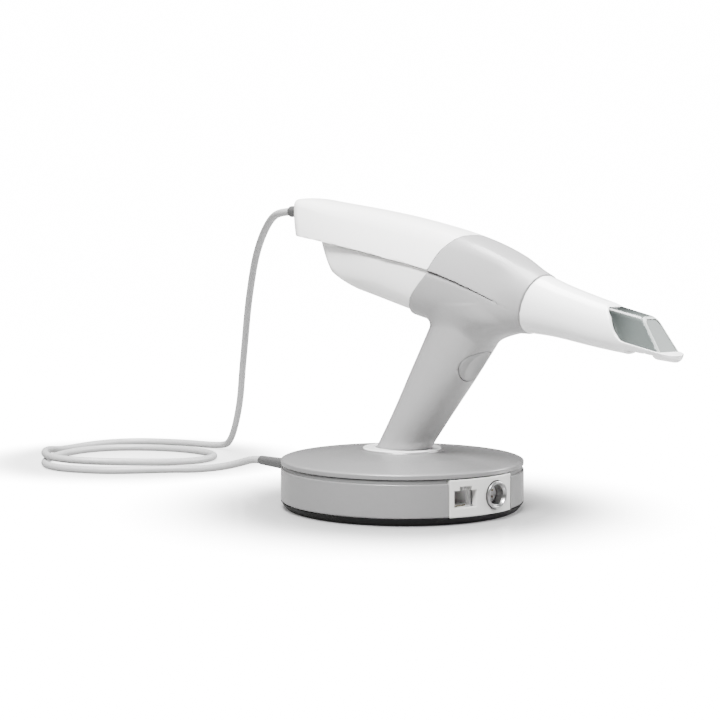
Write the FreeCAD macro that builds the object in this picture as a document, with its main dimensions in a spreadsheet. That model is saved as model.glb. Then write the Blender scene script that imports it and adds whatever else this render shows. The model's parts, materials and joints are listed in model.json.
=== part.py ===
import FreeCAD, Part
import math
import os
import Sketcher
from FreeCAD import Matrix, Placement, Rotation, Vector

# Pistol-grip intraoral camera standing in its round desk base.
# Frame: origin on the desk under the centre of the base, +X the way the camera's tip points,
# +Y to the left, +Z up.  The camera and its base are symmetric about the XZ plane.
# Pieces of the barrel are drawn in the barrel's own frame: its x runs along the barrel towards
# the tip and its z is square to that; barrel_frame() puts them into the model's frame.

doc = FreeCAD.newDocument("intraoral_camera")

DIMENSIONS = {
    # desk base
    "base_r": 60, "foot_r": 58, "foot_top": 3.6, "foot_bore": 46, "foot_floor": 1.4, "shell_wall": 3,
    "wall_top": 19.5, "band_r": 58.4, "band_top": 21.5, "lid_rim_top": 23.9, "lid_wall": 2.2,
    "collar_r": 19.3, "collar_top": 29.3, "collar_low": 28.0, "spigot_r": 18, "spigot_low": 24,
    "plate_r": 56.8, "plate_top": 5.6, "ballast_r": 54, "ballast_top": 9.4, "ballast_front": 26,
    "screw_ring": 38, "screw_r": 1.5, "screw_head_r": 2.8, "screw_head": 1.6, "screw_len": 5.4,
    "panel_y": -2.8, "panel_half": 19.2, "panel_low": 1.0, "panel_top": 21.0, "panel_gap": 0.35,
    # sockets in the port panel
    "jack_y": -14.1, "jack_z": 11.9, "jack_wide": 11.9, "jack_tall": 8.0, "latch_wide": 6.4,
    "latch_tall": 1.8, "jack_deep": 15.5, "jack_wall": 1.3,
    "plug_y": 4.1, "plug_z": 12.2, "plug_r": 6.5, "plug_bore": 4.3, "plug_deep": 12, "plug_recess": 4,
    "board_thick": 1.6,
    # cable
    "cord_r": 2.1, "boot_r": 4.5, "boot_tip_r": 2.4, "boot_body": 4, "boot_len": 58, "boot_z": 11,
    "coil_tall": 4.6, "crossing_tall": 8.4, "join_back_r": 5, "join_front_r": 15,
    # handpiece
    "barrel_height": 120.9, "barrel_pitch": 12, "wall": 2.0, "ring_s": 91.2, "ring_tilt": 7.6,
    "cap_thick": 3, "handle_low": 14, "cup_gap": 0.5, "cup_wall": 1.5, "cup_floor": 12.0,
    "seam_gap": 0.15,
    # trigger
    "button_long": 9.2, "button_wide": 8.6, "button_gap": 0.3, "button_deep": 4.2,
    # optics, on the barrel's axis
    "nose_r": 9.0, "nose_bore": 7.6, "nose_tip_r": 6.9, "nose_tip_bore": 5.9, "nose_from": 84,
    "nose_long": 34, "glass_thick": 1.5, "lens_r": 7.0, "rod_r": 1.0, "rod_y": 9.5, "rod_q": -4,
    "rod_from": 40, "rod_long": 42, "carriage_s": 62, "carriage_long": 9, "rod_fit": 0.05,
    "seal_r": 0.8, "seal_s": 94,
    # tip
    "tip_wall": 1.5, "mirror_thick": 1.0,
}

sheet = doc.addObject("Spreadsheet::Sheet", "dims")
for row, (alias, value) in enumerate(DIMENSIONS.items(), start=1):
    sheet.set("A%d" % row, alias)
    sheet.set("B%d" % row, str(value))
    sheet.setAlias("B%d" % row, alias)
doc.recompute()

NODES = []


def dim(text):
    """The value of an expression in the sheet's aliases, such as 'base_r - 2'."""
    return float(sheet.evalExpression(text))


def bound(text):
    """The same expression as a property expression that follows the sheet."""
    words = text.replace("(", " ( ").replace(")", " ) ").split()
    return " ".join("dims." + word if word in DIMENSIONS else word for word in words)


def node(item, label):
    """Marks a finished sub-part: its label names its file."""
    item.Label = label
    NODES.append(item)
    return item


def drive(item, **texts):
    for name, text in texts.items():
        item.setExpression(name, bound(text))
    return item


def cylinder(name, radius, height, at=("0", "0", "0"), axis=Vector(0, 0, 1)):
    item = drive(doc.addObject("Part::Cylinder", name), Radius=radius, Height=height)
    item.Placement = Placement(Vector(0, 0, 0), Rotation(Vector(0, 0, 1), axis))
    for letter, text in zip("xyz", at):
        item.setExpression("Placement.Base." + letter, bound(text))
    return item


def cone(name, radius, end_radius, height, at=("0", "0", "0"), axis=Vector(0, 0, 1)):
    item = drive(doc.addObject("Part::Cone", name), Radius1=radius, Radius2=end_radius, Height=height)
    item.Placement = Placement(Vector(0, 0, 0), Rotation(Vector(0, 0, 1), axis))
    for letter, text in zip("xyz", at):
        item.setExpression("Placement.Base." + letter, bound(text))
    return item


def box(name, low, size):
    """A block from its low corner and its size, as expressions."""
    item = drive(doc.addObject("Part::Box", name), Length=size[0], Width=size[1], Height=size[2])
    for letter, text in zip("xyz", low):
        item.setExpression("Placement.Base." + letter, bound(text))
    return item


def cut(name, base, tool):
    item = doc.addObject("Part::Cut", name)
    item.Base = base
    item.Tool = tool
    return item


def common(name, first, second):
    item = doc.addObject("Part::MultiCommon", name)
    item.Shapes = [first, second]
    return item


def joined(name, *pieces):
    item = doc.addObject("Part::MultiFuse", name)
    item.Shapes = list(pieces)
    return item


def group(name, pieces):
    """Several separate solids in one node."""
    item = doc.addObject("Part::Compound", name)
    item.Links = list(pieces)
    return item


def solid(name, shape, placement=None):
    """A sub-part whose shape is worked out by Part's own functions."""
    item = doc.addObject("Part::Feature", name)
    item.Shape = shape
    if placement is not None:
        item.Placement = placement
    return item


def origin_plane(body, role):
    return [plane for plane in body.Origin.OriginFeatures if plane.Role == role][0]


def profile(body, name, corners, role="XZ_Plane"):
    """A closed outline whose corners are expressions, each corner held by two bound distances."""
    sketch = body.newObject("Sketcher::SketchObject", name)
    sketch.AttachmentSupport = [(origin_plane(body, role), "")]
    sketch.MapMode = "FlatFace"
    points = [Vector(dim(across), dim(up), 0) for across, up in corners]
    for index, point in enumerate(points):
        sketch.addGeometry(Part.LineSegment(point, points[(index + 1) % len(points)]), False)
    for index in range(len(points)):
        following = (index + 1) % len(points)
        sketch.addConstraint(Sketcher.Constraint("Coincident", index, 2, following, 1))
    for index, (across, up) in enumerate(corners):
        for kind, text in (("DistanceX", across), ("DistanceY", up)):
            place = sketch.addConstraint(Sketcher.Constraint(kind, -1, 1, index, 1, dim(text)))
            sketch.setExpression("Constraints[%d]" % place, bound(text))
    return sketch


def turned(label, corners):
    """A PartDesign body turned about the Z axis from a half section of (radius, height) corners."""
    body = doc.addObject("PartDesign::Body", label)
    sketch = profile(body, label + "_section", corners)
    turn = body.newObject("PartDesign::Revolution", label + "_turn")
    turn.Profile = sketch
    turn.ReferenceAxis = (sketch, ["V_Axis"])
    turn.Angle = 360
    return body


def padded(label, corners, depth, role="XY_Plane", symmetric=False):
    """A PartDesign body padded from a closed outline of straight sides."""
    body = doc.addObject("PartDesign::Body", label)
    sketch = profile(body, label + "_outline", corners, role)
    pad = body.newObject("PartDesign::Pad", label + "_pad")
    pad.Profile = sketch
    drive(pad, Length=depth)
    pad.Midplane = symmetric
    return body


def rectangle(low_x, low_y, high_x, high_y):
    return [(low_x, low_y), (high_x, low_y), (high_x, high_y), (low_x, high_y)]


def barrel_frame():
    """From the barrel's own frame to the model's."""
    return Placement(Vector(0, 0, dim("barrel_height")), Rotation(Vector(0, 1, 0), dim("barrel_pitch")))


def in_barrel(item):
    item.Placement = barrel_frame().multiply(item.Placement)
    return item


# ---------------------------------------------------------------- desk base

def panel_window():
    """The sector of the base's skin that the port panel fills."""
    skin = cut("window_skin",
               cylinder("window_outer", "base_r + 2", "band_top - 0.2", ("0", "0", "-0.1")),
               cylinder("window_inner", "base_r - shell_wall", "band_top + 2", ("0", "0", "-1")))
    front = box("window_front", ("40", "panel_y - panel_half - panel_gap", "-1"),
                ("30", "2 * ( panel_half + panel_gap )", "40"))
    return common("window_tool", skin, front)


def make_foot(window):
    pad_profile = [("0", "0"), ("foot_r - 0.6", "0"), ("foot_r", "0.6"), ("base_r", "foot_top"),
                   ("foot_bore", "foot_top"), ("foot_bore", "foot_floor"), ("0", "foot_floor")]
    pad = turned("foot_pad_blank", pad_profile)
    node(cut("foot_pad", pad, window), "foot_pad")


def make_base_wall(window):
    ring = turned("base_wall_ring", [("base_r - shell_wall", "foot_top"), ("base_r", "foot_top"),
                                     ("base_r", "wall_top"), ("base_r - shell_wall", "wall_top")])
    hole = cylinder("boot_hole", "boot_r + 0.1", "20", ("0 - base_r - 6", "0", "boot_z"), Vector(1, 0, 0))
    open_ring = cut("base_wall_open", ring, window)
    node(cut("base_wall", open_ring, hole), "base_wall")


def make_band(window):
    ring = turned("trim_band_ring", [("band_r - 4", "wall_top"), ("band_r", "wall_top"),
                                     ("band_r", "band_top"), ("band_r - 4", "band_top")])
    node(cut("trim_band", ring, window), "trim_band")


def make_lid():
    body = turned("base_lid", [
        ("base_r - 6", "band_top"), ("base_r - 0.8", "band_top"), ("base_r", "band_top + 0.8"),
        ("base_r", "lid_rim_top - 0.9"), ("base_r - 1.2", "lid_rim_top"),
        ("collar_r + 18", "collar_low - 1.3"), ("collar_r - 0.2", "collar_low"),
        ("spigot_r + 0.1", "collar_low"), ("spigot_r + 0.1", "collar_low - lid_wall"),
        ("collar_r + 18", "collar_low - 1.3 - lid_wall"), ("base_r - 6", "band_top + 0.7")])
    node(body, "base_lid")


def handle_centre(height):
    """Where the handle's middle line is at a height above the desk: it leans towards the tip."""
    return -21.3 + 0.79 * height - 0.00055 * height * height


HANDLE_LEVELS = [
    # height, half length along X, half width along Y
    (14, 12.9, 11.8), (30, 13.9, 12.2), (53, 16.3, 12.7), (66, 18.1, 13.1), (80, 19.6, 13.5),
    (94, 21.0, 14.0), (106, 22.0, 14.4)]


def oval(centre, half_x, half_y, height):
    """A closed oval wire, a little squarer than an ellipse, level at a height."""
    points = []
    count = 16
    for index in range(count):
        angle = 2 * math.pi * index / count
        c = math.cos(angle)
        w = math.sin(angle)
        power = 2 / 2.25
        points.append(Vector(centre + half_x * math.copysign(abs(c) ** power, c),
                             half_y * math.copysign(abs(w) ** power, w), height))
    curve = Part.BSplineCurve()
    curve.interpolate(points, True)
    return Part.Wire([curve.toShape()])


def handle_level(height):
    """Half length and half width of the handle at a height, between the levels given."""
    for (low, long_a, wide_a), (high, long_b, wide_b) in zip(HANDLE_LEVELS, HANDLE_LEVELS[1:]):
        if height <= high:
            share = (height - low) / (high - low)
            return long_a + share * (long_b - long_a), wide_a + share * (wide_b - wide_a)
    return HANDLE_LEVELS[-1][1:]


def handle_solid(grow, low, high, levels=7):
    """The handle's outer shape, grown or shrunk by a distance, between two heights."""
    wires = []
    for index in range(levels):
        height = low + (high - low) * index / (levels - 1)
        half_x, half_y = handle_level(height)
        wires.append(oval(handle_centre(height), half_x + grow * 1.2, half_y + grow, height))
    return Part.makeLoft(wires, True, False)


def make_collar():
    ring = turned("socket_collar_blank", [
        ("8", "spigot_low"), ("spigot_r", "spigot_low"), ("spigot_r", "collar_low"),
        ("collar_r", "collar_low"), ("collar_r", "collar_top - 0.6"), ("collar_r - 0.6", "collar_top"),
        ("8", "collar_top")])
    doc.recompute()
    core = Part.makeCylinder(9, 12, Vector(0, 0, 20))
    passage = handle_solid(dim("cup_gap"), 20, 34)
    shape = ring.Shape.fuse(core).cut(passage)
    shape = shape.common(Part.makeCylinder(40, dim("collar_top - spigot_low"),
                                           Vector(0, 0, dim("spigot_low"))))
    largest = max(shape.Solids, key=lambda piece: piece.Volume)
    node(solid("socket_collar", largest), "socket_collar")
    ring.Visibility = False


def make_cup():
    """The slanted cup under the collar in which the handle stands."""
    gap = dim("cup_gap")
    floor = dim("cup_floor")
    rim = dim("spigot_low")
    outer = handle_solid(gap + dim("cup_wall"), 8, 30).common(
        Part.makeBox(120, 120, rim - floor + 0.0, Vector(-60, -60, floor)))
    inner = handle_solid(gap, 8, 30).common(
        Part.makeBox(120, 120, 30, Vector(-60, -60, floor + dim("cup_wall"))))
    node(solid("socket_cup", outer.cut(inner)), "socket_cup")


def screw_ring(name, radius, height, low):
    """Four equal cylinders on the screw circle."""
    pieces = []
    for index in range(4):
        item = cylinder("%s_%d" % (name, index), radius, height, ("0", "0", low))
        turn = math.radians(45 + 90 * index)
        item.setExpression("Placement.Base.x", bound("screw_ring * %.6f" % math.cos(turn)))
        item.setExpression("Placement.Base.y", bound("screw_ring * %.6f" % math.sin(turn)))
        pieces.append(item)
    return pieces


def make_floor_pieces():
    plate = turned("bottom_plate_disc", [("0", "foot_top"), ("plate_r", "foot_top"),
                                         ("plate_r", "plate_top"), ("0", "plate_top")])
    holes = group("plate_holes", screw_ring("plate_hole", "screw_r + 0.2", "4", "foot_top - 1"))
    node(cut("bottom_plate", plate, holes), "bottom_plate")
    disc = cylinder("ballast_disc", "ballast_r", "ballast_top - plate_top", ("0", "0", "plate_top"))
    front = box("ballast_front", ("ballast_front", "-70", "0"), ("60", "140", "20"))
    holes = group("ballast_holes", screw_ring("ballast_hole", "screw_r + 0.05", "8", "plate_top - 1"))
    node(cut("ballast_weight", cut("ballast_flat", disc, front), holes), "ballast_weight")
    heads = screw_ring("screw_head", "screw_head_r", "screw_head", "foot_top - screw_head")
    shanks = screw_ring("screw_shank", "screw_r", "screw_len", "foot_top")
    screws = [joined("base_screw_%d" % index, head, shank)
              for index, (head, shank) in enumerate(zip(heads, shanks))]
    node(group("base_screws", screws), "base_screws")


def jack_opening(name, depth, grow):
    """The stepped mouth of a modular jack, as a tool that runs along X."""
    body = box(name + "_mouth", ("base_r + 2 - ( " + depth + " )", "jack_y - jack_wide / 2 - " + grow,
                                 "jack_z - jack_tall / 2 - " + grow),
               (depth, "jack_wide + 2 * " + grow, "jack_tall + 2 * " + grow))
    latch = box(name + "_latch", ("base_r + 2 - ( " + depth + " )", "jack_y - latch_wide / 2 - " + grow,
                                  "jack_z"),
                (depth, "latch_wide + 2 * " + grow, "jack_tall / 2 + latch_tall + " + grow))
    return joined(name, body, latch)


def make_panel(window):
    skin = cut("panel_skin",
               cylinder("panel_outer", "base_r", "panel_top - panel_low", ("0", "0", "panel_low")),
               cylinder("panel_inner", "base_r - shell_wall + 0.2", "40", ("0", "0", "-5")))
    front = box("panel_front", ("40", "panel_y - panel_half", "-1"), ("30", "2 * panel_half", "40"))
    sector = common("panel_sector", skin, front)
    mouth = jack_opening("panel_mouth", "14", "0.05")
    round_hole = cylinder("panel_round_hole", "plug_r - 0.7", "14", ("50", "plug_y", "plug_z"),
                          Vector(1, 0, 0))
    seat_start = ("base_r - 0.4", "plug_y", "plug_z")
    seat = cylinder("panel_bezel_seat", "plug_r + 0.1", "6", seat_start, Vector(1, 0, 0))
    holes = joined("panel_holes", mouth, round_hole, seat)
    node(cut("port_panel", sector, holes), "port_panel")


def make_jack():
    back = "base_r - 2 - jack_deep - jack_wall - 1"
    shell = box("jack_shell", (back, "jack_y - jack_wide / 2 - jack_wall",
                               "jack_z - jack_tall / 2 - jack_wall"),
                ("jack_deep + jack_wall - 1.2", "jack_wide + 2 * jack_wall",
                 "jack_tall + latch_tall + 2 * jack_wall"))
    mouth = jack_opening("jack_mouth", "jack_deep + 3.6", "0")
    reach = cylinder("jack_reach", "base_r - shell_wall - 0.1", "30")
    node(cut("network_jack", common("jack_block", shell, reach), mouth), "network_jack")
    pins = []
    for index in range(8):
        pin = box("jack_pin_%d" % index, ("base_r - 15", "jack_y - 0.25 + 1.02 * %.1f" % (index - 3.5),
                                          "jack_z - jack_tall / 2 + 0.1"),
                  ("9", "0.5", "0.6"))
        pins.append(pin)
    node(group("jack_contacts", pins), "jack_contacts")


def make_round_socket():
    """Round power socket: metal bezel and barrel, insulator with its pins set back inside."""
    along = Vector(1, 0, 0)
    bezel = cylinder("plug_bezel", "plug_r", "1.6", ("base_r - 0.3", "plug_y", "plug_z"), along)
    sleeve_start = ("base_r - 0.3 - plug_deep", "plug_y", "plug_z")
    sleeve = cylinder("plug_sleeve", "plug_r - 0.8", "plug_deep", sleeve_start, along)
    bore = cylinder("plug_hollow", "plug_bore", "30", ("base_r - 20", "plug_y", "plug_z"), along)
    node(cut("socket_shell", joined("plug_outside", bezel, sleeve), bore), "socket_shell")
    insert = cylinder("plug_insert", "plug_bore - 0.02", "plug_deep - plug_recess", sleeve_start, along)
    node(insert, "socket_insulator")
    pins = []
    for index in range(4):
        turn = math.radians(45 + 90 * index)
        pins.append(cylinder("plug_pin_%d" % index, "0.5", "0.4",
                             ("base_r - 0.3 - plug_recess", "plug_y + 2.2 * %.5f" % math.cos(turn),
                              "plug_z + 2.2 * %.5f" % math.sin(turn)), along))
    node(group("socket_pins", pins), "socket_pins")


def make_boards():
    node(padded("port_board", rectangle("-22", "plate_top + 0.2", "18", "wall_top - 0.5"),
                "board_thick", "YZ_Plane"), "port_board")
    NODES[-1].Placement = Placement(Vector(dim("base_r - 2 - jack_deep - jack_wall - 1 - board_thick"), 0, 0),
                                    Rotation())
    board = padded("hub_board", rectangle("-52", "-20", "-34", "20"), "board_thick")
    board.Placement = Placement(Vector(0, 0, dim("ballast_top + 3")), Rotation())
    node(board, "hub_board")
    posts = []
    for index, (x, y) in enumerate(((-49, -17), (-49, 17), (-37, -17), (-37, 17))):
        posts.append(cylinder("board_post_%d" % index, "2", "3", (str(x), str(y), "ballast_top")))
    node(group("board_posts", posts), "board_posts")


# ---------------------------------------------------------------- cable

def boot_line(distance):
    """A point on the strain relief's middle line, a distance out from the inside of the base's wall."""
    return Vector(-(dim("base_r - shell_wall") + distance), 0, dim("boot_z"))


def make_boot():
    out = Vector(-1, 0, 0)
    body = Part.makeCylinder(dim("boot_r"), dim("boot_body"), boot_line(0), out)
    taper = Part.makeCone(dim("boot_r"), dim("boot_tip_r"), dim("boot_len - boot_body"),
                          boot_line(dim("boot_body")), out)
    node(solid("cable_boot", body.fuse(taper).removeSplitter()), "cable_boot")


def smooth_path(points, name):
    """Straight runs joined by tangent arcs, each as large as its two runs allow."""
    edges = []
    start = points[0]
    radii = []
    for before, corner, after in zip(points, points[1:], points[2:]):
        back = (before - corner)
        ahead = (after - corner)
        run = min(back.Length, ahead.Length)
        back.normalize()
        ahead.normalize()
        turn = math.pi - back.getAngle(ahead)
        reach = 0.45 * run
        radius = reach / math.tan(turn / 2)
        radii.append(radius)
        first = corner + back * reach
        last = corner + ahead * reach
        bisector = back + ahead
        bisector.normalize()
        middle = corner + bisector * (radius / math.cos(turn / 2) - radius)
        edges.append(Part.LineSegment(start, first).toShape())
        edges.append(Part.Arc(first, middle, last).toShape())
        start = last
    edges.append(Part.LineSegment(start, points[-1]).toShape())
    wire = Part.Wire(edges)
    print(name, "length %.1f" % wire.Length, "radii", [round(radius, 1) for radius in radii])
    return wire


def tube(name, points):
    """A round cord swept along its path."""
    wire = smooth_path(points, name)
    radius = dim("cord_r")
    direction = points[1] - points[0]
    ring = Part.Wire(Part.Circle(points[0], direction, radius).toShape())
    shape = wire.makePipeShell([ring], True, False)
    expected = math.pi * radius * radius * wire.Length
    print(name, "volume share %.4f" % (shape.Volume / expected))
    return shape


GLAND_EXIT = Vector(-87, 0, 147.3)
DROP_ROUTE = [
    # from the tail's gland down to the desk, where it runs into the coil
    GLAND_EXIT, Vector(-97, 0.2, 147.3), Vector(-111, 5, 144.4), Vector(-130, 13.5, 135.5),
    Vector(-146, 21, 124), Vector(-160, 28.5, 110), Vector(-174, 36, 92), Vector(-186, 43, 73),
    Vector(-197, 49, 54), Vector(-206, 54, 34.5), Vector(-215, 57, 18), Vector(-223.5, 59.3, 7.3),
    Vector(-234, 62, 2.1)]
LEAD_ROUTE = [
    # from the coil's edge up to the strain relief
    Vector(-169, -21.8, 2.1), Vector(-160.5, -14.6, 2.2), Vector(-150, -7.8, 3.4), Vector(-140, -3.2, 5.5),
    Vector(-130, -1.0, 8.3), Vector(-121.5, -0.1, 10.8)]
COIL_CENTRE = Vector(-235, -5, 0)
COIL_TURN = 137
COIL_OUTER = (73, 54)
COIL_INNER = (36, 26)
CROSSING = Vector(-246, -62, 0)
CROSSING_R = 24


def coil_ring(height):
    """A flat oval ring on the desk, the outline of the coil's turns."""
    rings = []
    for long_half, short_half in (COIL_OUTER, COIL_INNER):
        ellipse = Part.Ellipse(Vector(0, 0, 0), long_half, short_half)
        face = Part.Face(Part.Wire(ellipse.toShape()))
        rings.append(face.extrude(Vector(0, 0, height)))
    ring = rings[0].cut(rings[1])
    ring.Placement = Placement(COIL_CENTRE, Rotation(Vector(0, 0, 1), COIL_TURN))
    return ring


def make_cords():
    node(solid("cord_drop", tube("cord_drop", DROP_ROUTE)), "cord_drop")
    lead = LEAD_ROUTE + [boot_line(dim("boot_len"))]
    node(solid("cord_lead", tube("cord_lead", lead)), "cord_lead")
    # one turn lies on the other where they cross
    near = Part.makeCylinder(CROSSING_R, dim("crossing_tall"), CROSSING)
    raised = coil_ring(dim("crossing_tall")).common(near)
    node(solid("cord_coil", coil_ring(dim("coil_tall")).fuse(raised)), "cord_coil")


# ---------------------------------------------------------------- handpiece shells

UPPER_STATIONS = [
    # along the barrel, crown height, shoulder half width and height, edge half width and height
    (-88, 13.6, 10.2, 12.0, 13.2, -2.8), (-74, 17.9, 12.0, 15.9, 15.0, -1.5),
    (-58, 19.6, 12.7, 17.0, 16.3, -0.2), (-30, 21.4, 13.0, 18.3, 18.0, 1.6),
    (0, 22.8, 13.2, 19.6, 19.0, 2.9), (30, 22.9, 13.2, 19.9, 19.2, 3.6),
    (55, 21.4, 12.6, 18.9, 18.4, 3.3), (76, 17.7, 10.6, 15.8, 16.0, 2.2),
    (96, 13.1, 7.6, 10.6, 11.8, 0.3)]
KEEL_DEPTHS = [-18.0, -19.4, -20.2, -20.4, -21.3, -22.3, -20.2, -17.0, -12.9]
GROOVE_STEPS = [1.5, 1.5, 1.5, 1.5, 1.5, 1.4, 1.1, 0.6, 0.0]


def section_wire(points, place):
    """A smooth open curve through mirrored half-section points, closed by a straight line."""
    left = [Vector(place, -across, up) for across, up in points]
    right = [Vector(place, across, up) for across, up in reversed(points) if across > 0]
    curve = Part.BSplineCurve()
    curve.interpolate(left + right)
    ends = Part.LineSegment(curve.EndPoint, curve.StartPoint)
    return Part.Wire([curve.toShape(), ends.toShape()])


def upper_solid(inset, edge_inset, edge_shift):
    """The barrel above its side groove: domed top, soft shoulders, flanks that lean outwards."""
    wires = []
    for place, crown, wide, tall, edge_wide, edge_tall in UPPER_STATIONS:
        foot = edge_wide - edge_inset
        top = tall - inset
        shoulder = wide - inset
        flank = foot * 0.55 + shoulder * 0.45 + 0.4
        wires.append(section_wire([
            (foot, edge_tall + edge_shift), (flank, (edge_tall + top) / 2),
            (shoulder + 0.5, top - 1.6), (shoulder - 1.4, top + 0.6),
            (shoulder * 0.5, crown - inset - 0.5), (0, crown - inset)], place))
    return Part.makeLoft(wires, True, False)


def lower_solid(inset, edge_shift):
    """The barrel below its side groove: a tapering keel with a round bottom."""
    wires = []
    for (place, _, _, _, edge_wide, edge_tall), depth, step in zip(UPPER_STATIONS, KEEL_DEPTHS, GROOVE_STEPS):
        flank = edge_wide - step - inset
        keel = depth + inset
        drop = edge_tall - keel
        wires.append(section_wire([
            (flank, edge_tall + edge_shift), (flank - 0.1, edge_tall - 0.3 * drop),
            (flank * 0.88, edge_tall - 0.62 * drop), (flank * 0.56, edge_tall - 0.9 * drop),
            (0, keel)], place))
    return Part.makeLoft(wires, True, False)


def plan_block(tail, half, corner, lean, low, high):
    """A tall block with the barrel's rounded tail in plan; it leans back by lean per unit of height."""
    start = tail + lean * (0 - low)
    bend = corner * (1 - math.sqrt(0.5))
    arc_one = Part.Arc(Vector(start + corner, -half, low), Vector(start + bend, -half + bend, low),
                       Vector(start, -half + corner, low)).toShape()
    arc_two = Part.Arc(Vector(start, half - corner, low), Vector(start + bend, half - bend, low),
                       Vector(start + corner, half, low)).toShape()
    corners = [Vector(start + corner, half, low), Vector(start + 48, half + 6, low),
               Vector(140, half + 10, low), Vector(140, -half - 10, low),
               Vector(start + 48, -half - 6, low), Vector(start + corner, -half, low)]
    sides = Part.makePolygon(corners).Edges
    back = Part.LineSegment(Vector(start, -half + corner, low), Vector(start, half - corner, low)).toShape()
    face = Part.Face(Part.Wire([arc_one, back, arc_two] + sides))
    return face.extrude(Vector(-lean * (high - low), 0, high - low))


TAIL_LEAN = 0.6


def tail_block(inset):
    return plan_block(-74.0 + inset, 15.4 - inset, 12.5 - inset * 0.5, TAIL_LEAN, -12, 34)


KEEL_TAIL = -54.5
KEEL_RISE = [(KEEL_TAIL, 1.0), (-51.5, -3.5), (-48.3, -7.5), (-43.0, -12.5), (-36.0, -16.5), (-28.0, -19.5),
             (-18.0, -21.5)]


def keel_block(inset):
    """The lower cover's side outline: it rises in a round sweep at the rear."""
    rise = [Vector(s, -30, q) for s, q in KEEL_RISE]
    shift = Vector(inset, 0, inset)
    curve = Part.BSplineCurve()
    curve.interpolate([point + shift for point in rise])
    rest = [curve.EndPoint, Vector(0, -30, -26), Vector(140, -30, -30), Vector(140, -30, 30),
            Vector(KEEL_TAIL + inset, -30, 30), curve.StartPoint]
    face = Part.Face(Part.Wire([curve.toShape()] + Part.makePolygon(rest).Edges))
    plan = plan_block(KEEL_TAIL + inset, 14.0 - inset, 11.5 - inset * 0.5, TAIL_LEAN, -40, 34)
    return face.extrude(Vector(0, 60, 0)).common(plan)


def seam_block(shift):
    """Everything behind the seam between the white rear covers and the front housing."""
    line = [Vector(49 + shift, -40, 30), Vector(45.5 + shift, -40, 21), Vector(40.2 + shift, -40, 13),
            Vector(36.6 + shift, -40, 3), Vector(29.5 + shift, -40, -7), Vector(24.5 + shift, -40, -15),
            Vector(16 + shift, -40, -30)]
    curve = Part.BSplineCurve()
    curve.interpolate(line)
    rest = [curve.EndPoint, Vector(-140, -40, -30), Vector(-140, -40, 30), curve.StartPoint]
    face = Part.Face(Part.Wire([curve.toShape()] + Part.makePolygon(rest).Edges))
    return face.extrude(Vector(0, 80, 0))


def ring_block(shift):
    """Everything ahead of the slightly tilted ring where the tip meets the housing."""
    tilt = Placement(Vector(dim("ring_s") + shift, 0, 0), Rotation(Vector(0, 1, 0), dim("ring_tilt")))
    block = Part.makeBox(140, 120, 120, Vector(0, -60, -60))
    block.Placement = tilt
    return block


def long_box(start, end):
    return Part.makeBox(end - start, 80, 80, Vector(start, -40, -40))


def make_rear_covers():
    wall = dim("wall")
    gap = dim("seam_gap")
    behind = seam_block(-gap)
    upper = upper_solid(0, 0, 0).common(tail_block(0)).common(behind)
    tail_floor = Part.makeBox(60, 80, 20, Vector(-46 - 60, -40, 2.2 - 20))
    room = upper_solid(wall, wall + 1.5, -1).common(tail_block(wall)).cut(tail_floor)
    gland_hole = Part.makeCylinder(3.1, 30, Vector(-66, 0, 147.3), Vector(-1, 0, 0))
    cover = upper.cut(room)
    cover.Placement = barrel_frame()
    node(solid("rear_upper_cover", cover.cut(gland_hole)), "rear_upper_cover")
    lower = lower_solid(0, -0.1).common(keel_block(0)).common(behind)
    lower_room = lower_solid(wall, 2).common(keel_block(wall))
    node(solid("rear_lower_cover", lower.cut(lower_room), barrel_frame()), "rear_lower_cover")


def trigger_frame():
    """At the middle of the trigger on the handle's front, x pointing out of the handle."""
    height = 71.7
    low = height - 8
    high = height + 8
    front = [handle_centre(level) + handle_level(level)[0] for level in (low, high)]
    lean = math.degrees(math.atan2(high - low, front[1] - front[0]))
    place = Vector(handle_centre(height) + handle_level(height)[0], 0, height)
    return Placement(place, Rotation(Vector(0, 1, 0), 90 - lean))


def trigger_plug(long_half, wide_half, depth, out):
    """An oval plug along the trigger's x, from depth inside the surface to out beyond it."""
    ellipse = Part.Ellipse(Vector(0, 0, 0), long_half, wide_half)
    face = Part.Face(Part.Wire(ellipse.toShape()))
    plug = face.extrude(Vector(0, 0, depth + out))
    plug.Placement = Placement(Vector(-depth, 0, 0), Rotation(Vector(0, 1, 0), 90))
    moved = plug.copy()
    moved.Placement = trigger_frame().multiply(plug.Placement)
    return moved


def blended(barrel, handle):
    """Barrel and handle as one body; the hollow between them is tight at the back and wide in front."""
    side = Part.makeBox(400, 100, 400, Vector(-200, 0, -50))
    half = barrel.fuse(handle).common(side)
    joins = []
    for edge in half.Edges:
        ends = [edge.valueAt(edge.FirstParameter), edge.valueAt(edge.LastParameter)]
        middle = edge.valueAt((edge.FirstParameter + edge.LastParameter) / 2)
        on_middle = max(abs(end.y) for end in ends) < 0.01 and middle.y > 8
        if on_middle and min(end.z for end in ends) > 84 and max(end.z for end in ends) < 98:
            joins.append((edge, ends))
    join, ends = max(joins, key=lambda pair: pair[0].Length)
    radii = (dim("join_back_r"), dim("join_front_r"))
    if ends[0].x > ends[1].x:
        radii = radii[::-1]
    smooth = half.makeFillet(radii[0], radii[1], [join])
    return smooth.fuse(smooth.mirror(Vector(0, 0, 0), Vector(0, 1, 0))).removeSplitter()


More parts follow.
